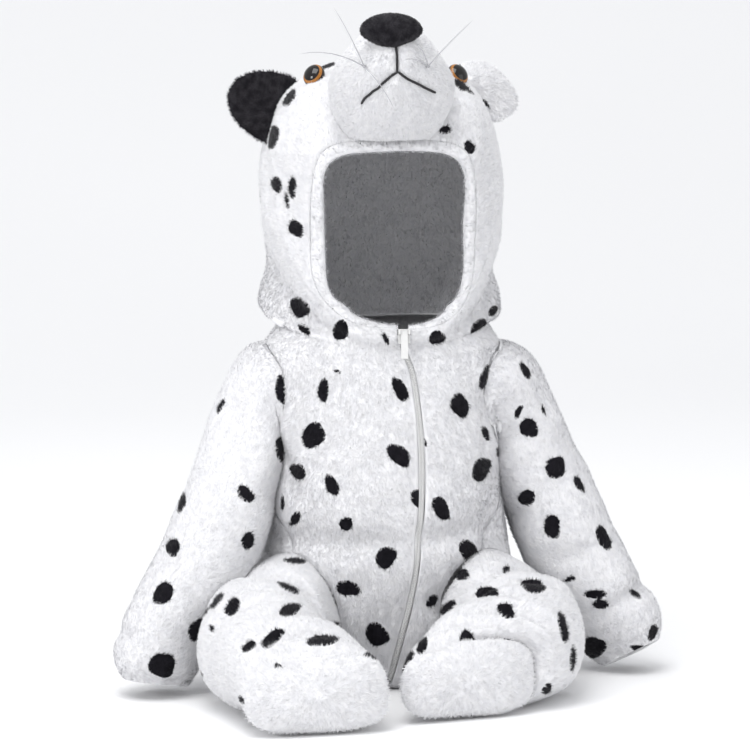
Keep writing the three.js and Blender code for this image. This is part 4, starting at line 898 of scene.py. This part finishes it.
nearness = all_points @ to_camera
cell = np.clip(pixel(all_points) // PICTURE_CELL, 0, PICTURE_CELLS - 1).astype(int)
nearest_in_cell = np.full((PICTURE_CELLS, PICTURE_CELLS), -1e9)
np.maximum.at(nearest_in_cell, (cell[:, 1], cell[:, 0]), nearness)
points = np.concatenate([cloth_grids[name]["points"].reshape(-1, 3) for name in spotted_names])
normals = np.concatenate([cloth_grids[name]["normals"].reshape(-1, 3) for name in spotted_names])
spot_pixels = pixel(points)
cell = np.clip(spot_pixels // PICTURE_CELL, 0, PICTURE_CELLS - 1).astype(int)
sizes = [cloth_grids[name]["points"][..., 0].size for name in spotted_names]
piece_of = np.repeat(np.arange(len(sizes)), sizes)
in_front = points @ to_camera > nearest_in_cell[cell[:, 1], cell[:, 0]] - SEEN_DEPTH
seen = (normals @ to_camera > 0.02) & in_front
spot_depth, spot_middles = np.full(len(points), NO_SPOT), []
for across, down, half_long, half_high, tilt in [spot for part in SPOTS.values() for spot in part]:
    away = np.hypot(*(spot_pixels - [across, down]).T) + np.where(seen, 0, 1000)
    middle = int(np.argmin(away))
    if away[middle] > SPOT_SEARCH:
        continue
    level_near = np.abs(spot_pixels - [across, down]).max(1) < half_long + SPOT_SEARCH
    solid_near = np.linalg.norm(points - points[middle], axis=1) < 2.2 * half_long * MM_PER_PIXEL + 4
    near = np.flatnonzero(level_near & solid_near & (piece_of == piece_of[middle]))
    offset, lean = (spot_pixels[near] - [across, down]) * [1, -1], np.radians(tilt)
    a = (offset[:, 0] * np.cos(lean) + offset[:, 1] * np.sin(lean)) / half_long
    b = (offset[:, 1] * np.cos(lean) - offset[:, 0] * np.sin(lean)) / half_high
    around = np.arctan2(b, a)
    wobble = 1 + 0.05 * np.sin(3 * around + across) + 0.04 * np.sin(4 * around + down)
    inward = (wobble - np.hypot(a, b)) * half_high * MM_PER_PIXEL
    spot_depth[near] = np.maximum(spot_depth[near], inward)
    spot_middles.append(points[middle])

spot_chance = np.random.default_rng(5)
for pick in spot_chance.permutation(np.flatnonzero(~seen))[:SPOT_TRIES]:
    here = points[int(pick)]
    if np.linalg.norm(np.array(spot_middles) - here, axis=1).min() < SPOT_APART:
        continue
    offset = points - here
    distance = np.linalg.norm(offset, axis=1)
    if seen[distance < SPOT_CLEAR].any():
        continue
    spot_middles.append(here)
    half_long = spot_chance.uniform(8.0, 11.0)
    half_high, lean = half_long * spot_chance.uniform(0.6, 0.85), np.radians(spot_chance.uniform(-80, 80))
    out = normals[int(pick)]
    near = np.flatnonzero((distance < SPOT_REACH) & (normals @ out > 0.1))
    level = np.cross([0.02, 0.05, 1.0], out)
    level /= np.linalg.norm(level)
    x, y = offset[near] @ level, offset[near] @ np.cross(out, level)
    a = (x * np.cos(lean) + y * np.sin(lean)) / half_long
    b = (y * np.cos(lean) - x * np.sin(lean)) / half_high
    around = np.arctan2(b, a)
    wobble = 1 + 0.08 * np.sin(2 * around + here[0]) + 0.07 * np.sin(3 * around + here[2])
    spot_depth[near] = np.maximum(spot_depth[near], (wobble - np.hypot(a, b)) * half_high)
start = 0
for name in spotted_names:
    shape = cloth_grids[name]["points"].shape[:2]
    cloth_grids[name]["spot"] = spot_depth[start : start + shape[0] * shape[1]].reshape(shape)
    start += shape[0] * shape[1]


# Plush: a knitted backing with a short soft pile. The skin carries the colour and a fine nap in its
# relief, and the pile is laid over it as flat fibres that lean down the garment and stand out at its edges.
PLUSH_WHITE, PLUSH_SHADE, PLUSH_BLACK = (0.81, 0.807, 0.818), (0.75, 0.75, 0.77), (0.006, 0.0055, 0.008)


def plush_material(name, spotted, white=PLUSH_WHITE, shade_white=PLUSH_SHADE, fibre=False):
    """Colour mixed by the spot's depth plus a fine noise, so that its edge is hairy; nap as bump."""
    material, shade = new_material(name)
    hair, clump = cloud(shade, Scale=900.0, Detail=2.0), cloud(shade, Scale=170.0, Detail=3.0)
    pale = clump.step(0.3, 0.7).tint(shade_white, white)
    if spotted:
        depth = shade.node("Attribute", {"attribute_name": "spot"}, outlet=2)
        ragged = depth + (hair - 0.5) * (2.2 if not fibre else 1.0)
        dark = clump.step(0.3, 0.7).tint(PLUSH_BLACK, (0.012, 0.011, 0.015))
        pale = ragged.step(-0.35, 0.35).tint(pale, dark)
    height = clump * 0.8 + hair * 0.35
    nap = shade.node("Bump", Height=height, Distance=0.0012, Strength=0.15 if fibre else 0.6)
    surface(
        shade,
        Base_Color=pale,
        Roughness=0.95,
        Sheen_Weight=0.12,
        Sheen_Roughness=0.5,
        Specular_IOR_Level=0.1,
        Normal=nap,
    )
    return material


spotted_skin = plush_material("spotted_plush", True)
spotted_pile = plush_material("spotted_pile", True, fibre=True)
white_skin = plush_material("white_plush", False)
white_pile = plush_material("white_pile", False, fibre=True)
black_skin = plush_material("black_plush", False, (0.022, 0.020, 0.024), (0.010, 0.009, 0.012))
black_pile = plush_material("black_pile", False, (0.035, 0.033, 0.038), (0.010, 0.009, 0.012), fibre=True)
backing = plush_material("knit_backing", False, (0.80, 0.80, 0.81), (0.74, 0.74, 0.755))


def give_spot(piece, values):
    """Stores each point's depth inside its spot, in millimetres, for the material."""
    spot = piece.data.attributes.new("spot", "FLOAT", "POINT")
    spot.data.foreach_set("value", np.asarray(values, np.float32).ravel())


def cloth_piece(name, material, thick=CLOTH):
    """The skin of one kept grid with a wall under it, in place of the CAD node of its name."""
    grid = cloth_grids[name]
    points, closed = grid["points"], grid["closed"]
    spot = grid.get("spot", np.full(points.shape[:2], NO_SPOT))
    spotted = np.concatenate([points, spot[..., None]], -1)
    if grid["pole"]:
        flat, face_sets = capped(spotted)
    else:
        flat, face_sets = spotted.reshape(-1, 4), [grid_faces(points.shape[0], points.shape[1], closed)]
    middle_face = face_sets[0][len(face_sets[0]) // 2]
    corner = flat[middle_face, :3]
    face_normal = np.cross(corner[1] - corner[0], corner[3] - corner[0])
    if face_normal @ grid["normals"].reshape(-1, 3)[middle_face[0]] < 0:
        face_sets = [faces[:, ::-1] for faces in face_sets]
    piece = add_mesh(name + "_cloth", metre(flat[:, :3]), *face_sets)
    give_spot(piece, flat[:, 3])
    piece.data.materials.append(material)
    piece.data.materials.append(backing)
    wall = piece.modifiers.new("wall", "SOLIDIFY")
    wall.thickness, wall.offset = thick / 1000, -1.0
    wall.material_offset = wall.material_offset_rim = 1
    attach(piece, "garment")
    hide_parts(name)
    return piece


pile_chance = np.random.default_rng(11)
FIBRE_LONG, FIBRE_WIDE, FIBRE_LEAN = 3.0, 0.70, 62.0
TIP_FLOOR, ROOT_FLOOR = 0.4, 0.3


def pile_piece(
    name, grid, material, per_mm2, flow, long=FIBRE_LONG, bare=None, inset=0.0, clear=0.0, tousled=0.2
):
    """Three-cornered fibres rooted at random on a grid by its area, leaning flow times its first slope."""
    points, normals, closed = grid["points"], grid["normals"], grid["closed"]
    spot = grid.get("spot", np.full(points.shape[:2], NO_SPOT))
    if closed:
        points, normals = (np.concatenate([a, a[:, :1]], 1) for a in (points, normals))
        spot = np.concatenate([spot, spot[:, :1]], 1)
    near, along, across, far = points[:-1, :-1], points[1:, :-1], points[:-1, 1:], points[1:, 1:]
    area = np.linalg.norm(np.cross(far - near, along - across), axis=-1) / 2
    count = int(area.sum() * per_mm2)
    cell = pile_chance.choice(area.size, count, p=area.ravel() / area.sum())
    row, col = np.unravel_index(cell, area.shape)
    u, v = pile_chance.random((2, count))

    def blend(values):
        tail = (slice(None),) + (None,) * (values.ndim - 2)
        low = values[row, col] * (1 - v)[tail] + values[row, col + 1] * v[tail]
        high = values[row + 1, col] * (1 - v)[tail] + values[row + 1, col + 1] * v[tail]
        return low * (1 - u)[tail] + high * u[tail]

    root, out, depth = blend(points), blend(normals), blend(spot)
    keep = col + v > clear
    if bare is not None:
        keep &= np.min(np.linalg.norm(root[:, None, :] - bare[None, :, :], axis=-1), axis=1) > inset
    slope = (far - across)[row, col] * flow
    slope -= out * (slope * out).sum(1, keepdims=True)
    slope /= np.linalg.norm(slope, axis=1, keepdims=True) + 1e-9
    side = np.cross(out, slope)
    swing = pile_chance.normal(0, 0.55, count)[:, None]
    lean_way = slope * np.cos(swing) + side * np.sin(swing)
    edge_way = np.cross(out, lean_way) + out * pile_chance.normal(0, 0.16, (count, 1))
    lean = np.radians(pile_chance.normal(FIBRE_LEAN, 8, count))[:, None]
    reach = (long * pile_chance.uniform(0.7, 1.15, count))[:, None]
    tip = root + (out * np.cos(lean) + lean_way * np.sin(lean)) * reach
    half = edge_way * (FIBRE_WIDE / 2) * pile_chance.uniform(0.7, 1.2, (count, 1))
    tip[:, 2] = np.maximum(tip[:, 2], TIP_FLOOR)
    corners = np.stack([root + half, root - half, tip], 1)[keep]
    corners[..., 2] = np.maximum(corners[..., 2], ROOT_FLOOR)
    faces = np.arange(corners.shape[0] * 3).reshape(-1, 3)
    piece = add_mesh(name, metre(corners.reshape(-1, 3)), faces)
    soft = unit(out + pile_chance.normal(0, tousled, (count, 3)))
    piece.data.normals_split_custom_set_from_vertices(np.repeat(soft[keep], 3, axis=0).tolist())
    give_spot(piece, np.repeat(depth[keep], 3))
    piece.data.materials.append(material)
    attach(piece, "garment")
    return piece


def flat_size(points, closed=False):
    """Width and length of a cut from the longest run of its grid each way, and its area, in metres."""
    if closed:
        points = np.concatenate([points, points[:, :1]], 1)
    gaps_row = np.linalg.norm(np.diff(points, axis=1), axis=-1).sum(1)
    gaps_col = np.linalg.norm(np.diff(points, axis=0), axis=-1).sum(0)
    cross = np.cross(points[1:, 1:] - points[:-1, :-1], points[1:, :-1] - points[:-1, 1:])
    area = np.linalg.norm(cross, axis=-1).sum() / 2
    return (gaps_row.max() / 1000, gaps_col.max() / 1000), area / 1e6


# fibres for each square millimetre
PILE = {"shell": 0.92, "muzzle": 1.25, "ear": 1.8, "lining": 0.65, "nose": 3.5}
SMALL_CLOTH, NOSE_CLOTH = 1.6, 1.2  # thickness of the finer plush of ears and lining, and of the nose
EYE = {"turn": 148.0, "along": 0.2, "half": 8.5, "high": 6.5, "proud": 2.5, "taller": 1.08}
EYE_FORWARD = {"aside": 0.35, "ahead": -0.95, "up": 0.05}
eye_seats = np.array([hood_point(side * np.radians(EYE["turn"]), EYE["along"]) for side in (-1, 1)])
SPOTTED = [
    # piece, way the pile leans along its rows
    ("front_right", -1),
    ("front_left", -1),
    ("back", -1),
    ("leg_right", -1),
    ("leg_left", -1),
    ("sleeve_right", -1),
    ("sleeve_left", -1),
    ("hood_right", 1),
    ("hood_left", 1),
]
for name, flow in SPOTTED:
    grid = cloth_grids[name]
    skin = cloth_piece(name, spotted_skin)
    clear, bare = (1.0, None) if "front" in name else (0.0, eye_seats if "hood" in name else None)
    per_mm2 = PILE["shell"]
    pile = pile_piece(
        name + "_pile", grid, spotted_pile, per_mm2, flow, bare=bare, inset=9.0, clear=clear
    )
    cut, cut_area = flat_size(grid["points"], grid["closed"])

muzzle_grid = cloth_grids["muzzle"]
muzzle_skin = cloth_piece("muzzle", spotted_skin)
pile_piece(
    "muzzle_pile", muzzle_grid, spotted_pile, PILE["muzzle"], 1, bare=mouth_all, inset=1.1
)
for side_name in ("right", "left"):
    for layer, skin_material, fibre_material, slot in (
        ("front", black_skin, black_pile, "black_plush"),
        ("back", spotted_skin, spotted_pile, "spotted_plush"),
    ):
        name = "ear_" + side_name + "_" + layer
        skin = cloth_piece(name, skin_material, thick=SMALL_CLOTH)
        pile = pile_piece(name + "_pile", cloth_grids[name], fibre_material, PILE["ear"], 1)
        cut, cut_area = flat_size(cloth_grids[name]["points"], True)


# Soles: plain white ovals of plush that close the feet, with a thin layer of padding under each. They
# are sewn all round to the ends of the legs, and the padding gives them a soft crown.
for side_name in ("right", "left"):
    grid = cloth_grids["sole_" + side_name]
    skin = cloth_piece("sole_" + side_name, white_skin)
    pile_piece("sole_" + side_name + "_pile", grid, white_pile, PILE["shell"], 1)


# Hood lining: plain white plush inside the whole hood, sewn in with the hood at the neck seam. It is
# rolled out round the face as a soft edge.
LINING = {"under": 8.2, "roll": 4.2, "middle": 4.0, "ahead": 3.0, "side": 4.5, "deep": 1.06, "end": 0.055}
lining_turns = np.concatenate(
    [np.linspace(LINING["end"], np.pi, 76), np.linspace(-np.pi, -LINING["end"], 76)[1:]]
)[None, :]


def soften(ways, reach=6):
    """Unit directions averaged with their neighbours within reach columns, so that they turn slowly."""
    columns = ways.shape[1]
    if columns > 2 * reach:
        padded = np.pad(ways, ((0, 0), (reach, reach), (0, 0)), mode="edge")
        ways = sum(padded[:, first : first + columns] for first in range(2 * reach + 1))
    return unit(ways)


def hood_skin(turn, along, out, ahead):
    """Hood points moved out along the normal and ahead past the face edge, from small steps each way."""
    point = hood_point(turn, along)
    slope_turn = hood_point(turn + 1e-3, along) - hood_point(turn - 1e-3, along)
    slope_along = hood_point(turn, along + 1e-3) - hood_point(turn, np.maximum(0, along - 1e-3))
    normal = soften(unit(np.cross(slope_along, slope_turn)))
    forward = soften(unit(hood_point(turn, 0 * along) - hood_point(turn, 0 * along + 0.03)))
    return point + normal * np.asarray(out)[..., None] + forward * np.asarray(ahead)[..., None]


inside_along = np.concatenate([np.linspace(LINING["deep"], 0.3, 28), np.linspace(0.27, 0, 14)])[:, None]
inside_along = inside_along + 0 * lining_turns
roll_angle = np.radians(np.linspace(-90, 128, 18))[:, None] + 0 * lining_turns
roll_full = 0.65 + 0.35 * smooth((np.abs(lining_turns) - LINING["end"]) / 0.3)
inside_under = LINING["under"] - 2.8 * smooth(inside_along / 0.25)
lining_inside = hood_skin(lining_turns + 0 * inside_along, inside_along, -inside_under, 0 * inside_along)
lining_roll = hood_skin(
    lining_turns + 0 * roll_angle,
    0 * roll_angle,
    -LINING["middle"] + LINING["roll"] * np.sin(roll_angle),
    LINING["ahead"] * roll_full
    + LINING["side"]
    * np.sin(lining_turns) ** 2
    * (1 - 0.35 * np.sign(lining_turns))
    * np.cos(roll_angle / 1.5)
    + (LINING["roll"] + 0.8) * roll_full * np.cos(roll_angle),
)
lining_points = np.concatenate([lining_inside, lining_roll[1:]])
keep_grid("hood_lining", lining_points, "plain", inside=HEAD + [0, 0, 4000], depth=0.4)
lining_grid = cloth_grids["hood_lining"]
level_turns = 0 * lining_turns
roll_middle = hood_skin(lining_turns, level_turns, level_turns - LINING["middle"], level_turns + 1)
roll_rows = slice(-12, None)
if (lining_grid["normals"][roll_rows] * (lining_grid["points"][roll_rows] - roll_middle)).sum() < 0:
    lining_grid["normals"] = -lining_grid["normals"]
lining_skin = cloth_piece("hood_lining", white_skin, thick=SMALL_CLOTH)
lining_pile = pile_piece(
    "hood_lining_pile", lining_grid, white_pile, PILE["lining"], 1, tousled=0.4
)
lining_cut, lining_area = flat_size(lining_grid["points"])


# Nose: a stuffed black plush pad sewn to the tip of the muzzle. The mouth is a thick black thread
# sewn down from it in three strokes, which lie in the muzzle's crease.
NOSE = {"centre": np.array([-2.6, -137.0, 503.0]), "tilt": 30.0, "deep": 12.0, "tall": 12.5, "wide": 22.5}
nose_tilt = np.radians(NOSE["tilt"])
nose_polar, nose_turn = polar_grid(1, 112, 30, 64)
nose_narrow = 1 - 0.35 * smooth(-np.cos(nose_turn) * np.sin(nose_polar))
nose_axis = np.array([0, -np.cos(nose_tilt), np.sin(nose_tilt)])
nose_up = np.array([0, np.sin(nose_tilt), np.cos(nose_tilt)])
nose_sizes = (NOSE["deep"], NOSE["tall"], NOSE["wide"] * nose_narrow)
nose_points = dome(NOSE["centre"], (nose_axis, nose_up, sideways), nose_sizes, nose_polar, nose_turn)
keep_grid("nose", nose_points, "plain", closed=True, inside=NOSE["centre"], depth=0.2, pole=True)
nose_skin = cloth_piece("nose", black_skin, thick=NOSE_CLOTH)
pile_piece("nose_pile", cloth_grids["nose"], black_pile, PILE["nose"], 1, long=2.0)

thread_material, thread_shade = new_material("black_thread")
thread_twist = cloud(
    thread_shade, "TexWave", {"wave_type": "BANDS", "bands_direction": "DIAGONAL"}, Scale=520.0
)
thread_relief = thread_shade.node("Bump", Height=thread_twist, Distance=0.0004, Strength=0.7)
surface(thread_shade, Base_Color=(0.012, 0.011, 0.013, 1.0), Roughness=0.6, Normal=thread_relief)


def tube_along(name, line, radius, sides=10):
    """A round tube: line + radius (cos s side + sin s other) at each point, shrunk and closed at its ends."""
    way = unit(np.gradient(line, axis=0))
    side = unit(np.cross(way, [0.1, 0.2, 1.0]))
    other = np.cross(way, side)
    turn = 2 * np.pi * np.arange(sides) / sides
    size = radius * np.sqrt(np.clip(1 - np.linspace(-1, 1, len(line)) ** 16, 0.0004, 1))[:, None, None]
    ring = side[:, None] * np.cos(turn)[None, :, None] + other[:, None] * np.sin(turn)[None, :, None]
    flat, face_sets = capped(line[:, None] + ring * size, ends=(0, -1))
    return add_mesh(name, metre(flat), *[faces[:, ::-1] for faces in face_sets])


THREAD = {"radius": 0.95, "proud": 1.3, "smoothed": 13}
for stroke_name, (line, _) in zip(("mouth_middle", "mouth_right", "mouth_left"), mouth_lines):
    nearest = np.argmin(
        np.linalg.norm(muzzle_grid["points"].reshape(-1, 1, 3) - line[None], axis=-1), axis=0
    )
    on_muzzle, off_muzzle = (muzzle_grid[key].reshape(-1, 3)[nearest] for key in ("points", "normals"))
    settled = on_muzzle + off_muzzle * THREAD["proud"]
    kernel = np.ones(THREAD["smoothed"]) / THREAD["smoothed"]
    beyond = THREAD["smoothed"] // 2
    padded_line = np.pad(settled, ((beyond, beyond), (0, 0)), mode="reflect", reflect_type="odd")
    settled = np.stack([np.convolve(padded_line[:, k], kernel, "valid") for k in range(3)], -1)
    stitch = tube_along(stroke_name, settled, THREAD["radius"])
    stitch.data.materials.append(thread_material)
    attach(stitch, "garment")


# Eyes: domed plastic buttons pressed through the hood, a black pupil in an amber ring under a clear
# glossy face.
eye_material, eye_shade = new_material("eye_plastic")
ring_share = eye_shade.node("Attribute", {"attribute_name": "ring"}, outlet=2)
eye_cloud = cloud(eye_shade, Scale=600.0)
iris = eye_cloud.tint((0.30, 0.11, 0.02), (0.48, 0.20, 0.04))
pupil = ring_share.step(0.74, 0.79).tint((0.004, 0.003, 0.003), iris)
rim = ring_share.step(0.91, 0.95).tint(pupil, (0.02, 0.012, 0.008))
surface(
    eye_shade,
    Base_Color=rim,
    Roughness=0.06,
    Specular_IOR_Level=0.4,
    Coat_Weight=0.15,
    Coat_Roughness=0.03,
)
for side_name, side in (("right", -1), ("left", 1)):
    eye_turn = side * np.radians(EYE["turn"])
    seat = hood_point(eye_turn, EYE["along"])
    one = np.ones((1, 1))
    out = hood_skin(eye_turn * one, EYE["along"] * one, one, 0 * one)[0, 0] - seat
    seat = seat + out * EYE["proud"] / np.linalg.norm(out)
    forward = np.array([side * EYE_FORWARD["aside"], EYE_FORWARD["ahead"], EYE_FORWARD["up"]])
    out = out / np.linalg.norm(out) + forward
    out /= np.linalg.norm(out)
    level = np.cross([0, 0, 1.0], out)
    level /= np.linalg.norm(level)
    steep = np.cross(out, level)
    polar, turn = polar_grid(1, 150, 40, 56)
    eye_sizes = (EYE["high"], EYE["half"], EYE["taller"] * EYE["half"])
    eye_points = dome(seat, (out, level, steep), eye_sizes, polar, turn)
    eye_ring = np.where(polar < np.pi / 2, np.sin(polar), 1.0)
    eye_flat, eye_faces = capped(np.concatenate([eye_points, eye_ring[..., None]], -1), ends=(0, -1))
    eye = add_mesh("eye_" + side_name + "_dome", metre(eye_flat[:, :3]), *eye_faces)
    ring = eye.data.attributes.new("ring", "FLOAT", "POINT")
    ring.data.foreach_set("value", eye_flat[:, 3].astype(np.float32))
    eye.data.materials.append(eye_material)
    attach(eye, "garment")
    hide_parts("eye_" + side_name)


# Zip: a woven white tape on each side and a moulded coil closed up the middle, with a white slider and
# its pull tab at the chin. The slider, the tab and the tape keep their own solids under new finishes.
zip_plastic, zip_shade = new_material("zip_plastic")
zip_cloud = cloud(zip_shade, Scale=400.0, Detail=4.0)
surface(
    zip_shade,
    Base_Color=zip_cloud.tint((0.62, 0.62, 0.615), (0.71, 0.71, 0.70)),
    Roughness=0.38,
    Normal=zip_shade.node("Bump", Height=zip_cloud, Distance=0.0002, Strength=0.3),
)
tape_material, tape_shade = new_material("zip_tape_weave")
tape_weave = cloud(tape_shade, "TexWave", {"bands_direction": "DIAGONAL"}, Scale=420.0)
surface(
    tape_shade,
    Base_Color=tape_weave.tint((0.70, 0.70, 0.70), (0.84, 0.84, 0.84)),
    Roughness=0.8,
    Normal=tape_shade.node("Bump", Height=tape_weave, Distance=0.0004, Strength=0.6),
)
for node, finish in (("zip_slider", zip_plastic), ("zip_pull", zip_plastic), ("zip_tape", tape_material)):
    refinish(node, finish)

TOOTH = {"wide": 2.3, "long": 1.15, "high": 1.2, "pitch": 2.0, "sunk": 0.3, "aside": 0.55, "slim": 0.8}
ZIP_ROWS = (2.9, 15.95)  # the body rows where the teeth begin and end
zip_rows = np.linspace(*ZIP_ROWS, 400)
zip_spots = body_point(zip_angle(zip_rows), zip_rows)
zip_slopes = (
    body_point(zip_angle(zip_rows) + 1e-3, zip_rows) - zip_spots,
    body_point(zip_angle(zip_rows), zip_rows + 1e-3) - zip_spots,
)
zip_outs = unit(np.cross(*zip_slopes))
zip_run = np.concatenate([[0], np.cumsum(np.linalg.norm(np.diff(zip_spots, axis=0), axis=1))])
tooth_at = np.arange(0, zip_run[-1], TOOTH["pitch"] / 2)
tooth_spot = np.stack([np.interp(tooth_at, zip_run, zip_spots[:, k]) for k in range(3)], -1)
tooth_out = np.stack([np.interp(tooth_at, zip_run, zip_outs[:, k]) for k in range(3)], -1)
tooth_way = unit(np.gradient(tooth_spot, axis=0))
tooth_side = np.cross(tooth_way, tooth_out)
hand = np.where(np.arange(len(tooth_at)) % 2 == 0, 1.0, -1.0)[:, None]
tooth_middle = tooth_spot + tooth_side * hand * TOOTH["aside"] - tooth_out * TOOTH["sunk"]
corner_signs = np.array([[x, y, z] for z in (-1, 1) for x, y in ((-1, -1), (1, -1), (1, 1), (-1, 1))], float)
tooth_points = (
    tooth_middle[:, None]
    + tooth_side[:, None] * corner_signs[None, :, :1] * TOOTH["wide"] / 2 * TOOTH["slim"]
    + tooth_way[:, None] * corner_signs[None, :, 1:2] * TOOTH["long"] / 2 * TOOTH["slim"]
    + tooth_out[:, None] * corner_signs[None, :, 2:] * TOOTH["high"] / 2
)
box_faces = np.array([[0, 3, 2, 1], [4, 5, 6, 7], [0, 1, 5, 4], [1, 2, 6, 5], [2, 3, 7, 6], [3, 0, 4, 7]])
tooth_faces = (np.arange(len(tooth_at))[:, None, None] * 8 + box_faces[None]).reshape(-1, 4)
teeth = add_mesh("zip_teeth", metre(tooth_points.reshape(-1, 3)), tooth_faces)
teeth.data.materials.append(zip_plastic)
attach(teeth, "garment")


# Whiskers: three clear white nylon strands on each side of the muzzle, held by a small knot on the
# plush. They keep their own solids under a new finish.
nylon, nylon_shade = new_material("whisker_nylon")
nylon_cloud = cloud(nylon_shade, Scale=200.0)
surface(
    nylon_shade,
    Base_Color=nylon_cloud.tint((0.30, 0.30, 0.32), (0.46, 0.46, 0.48)),
    Roughness=0.25,
    Coat_Weight=0.5,
)
for node in ("whiskers_right", "whiskers_left"):
    refinish(node, nylon)
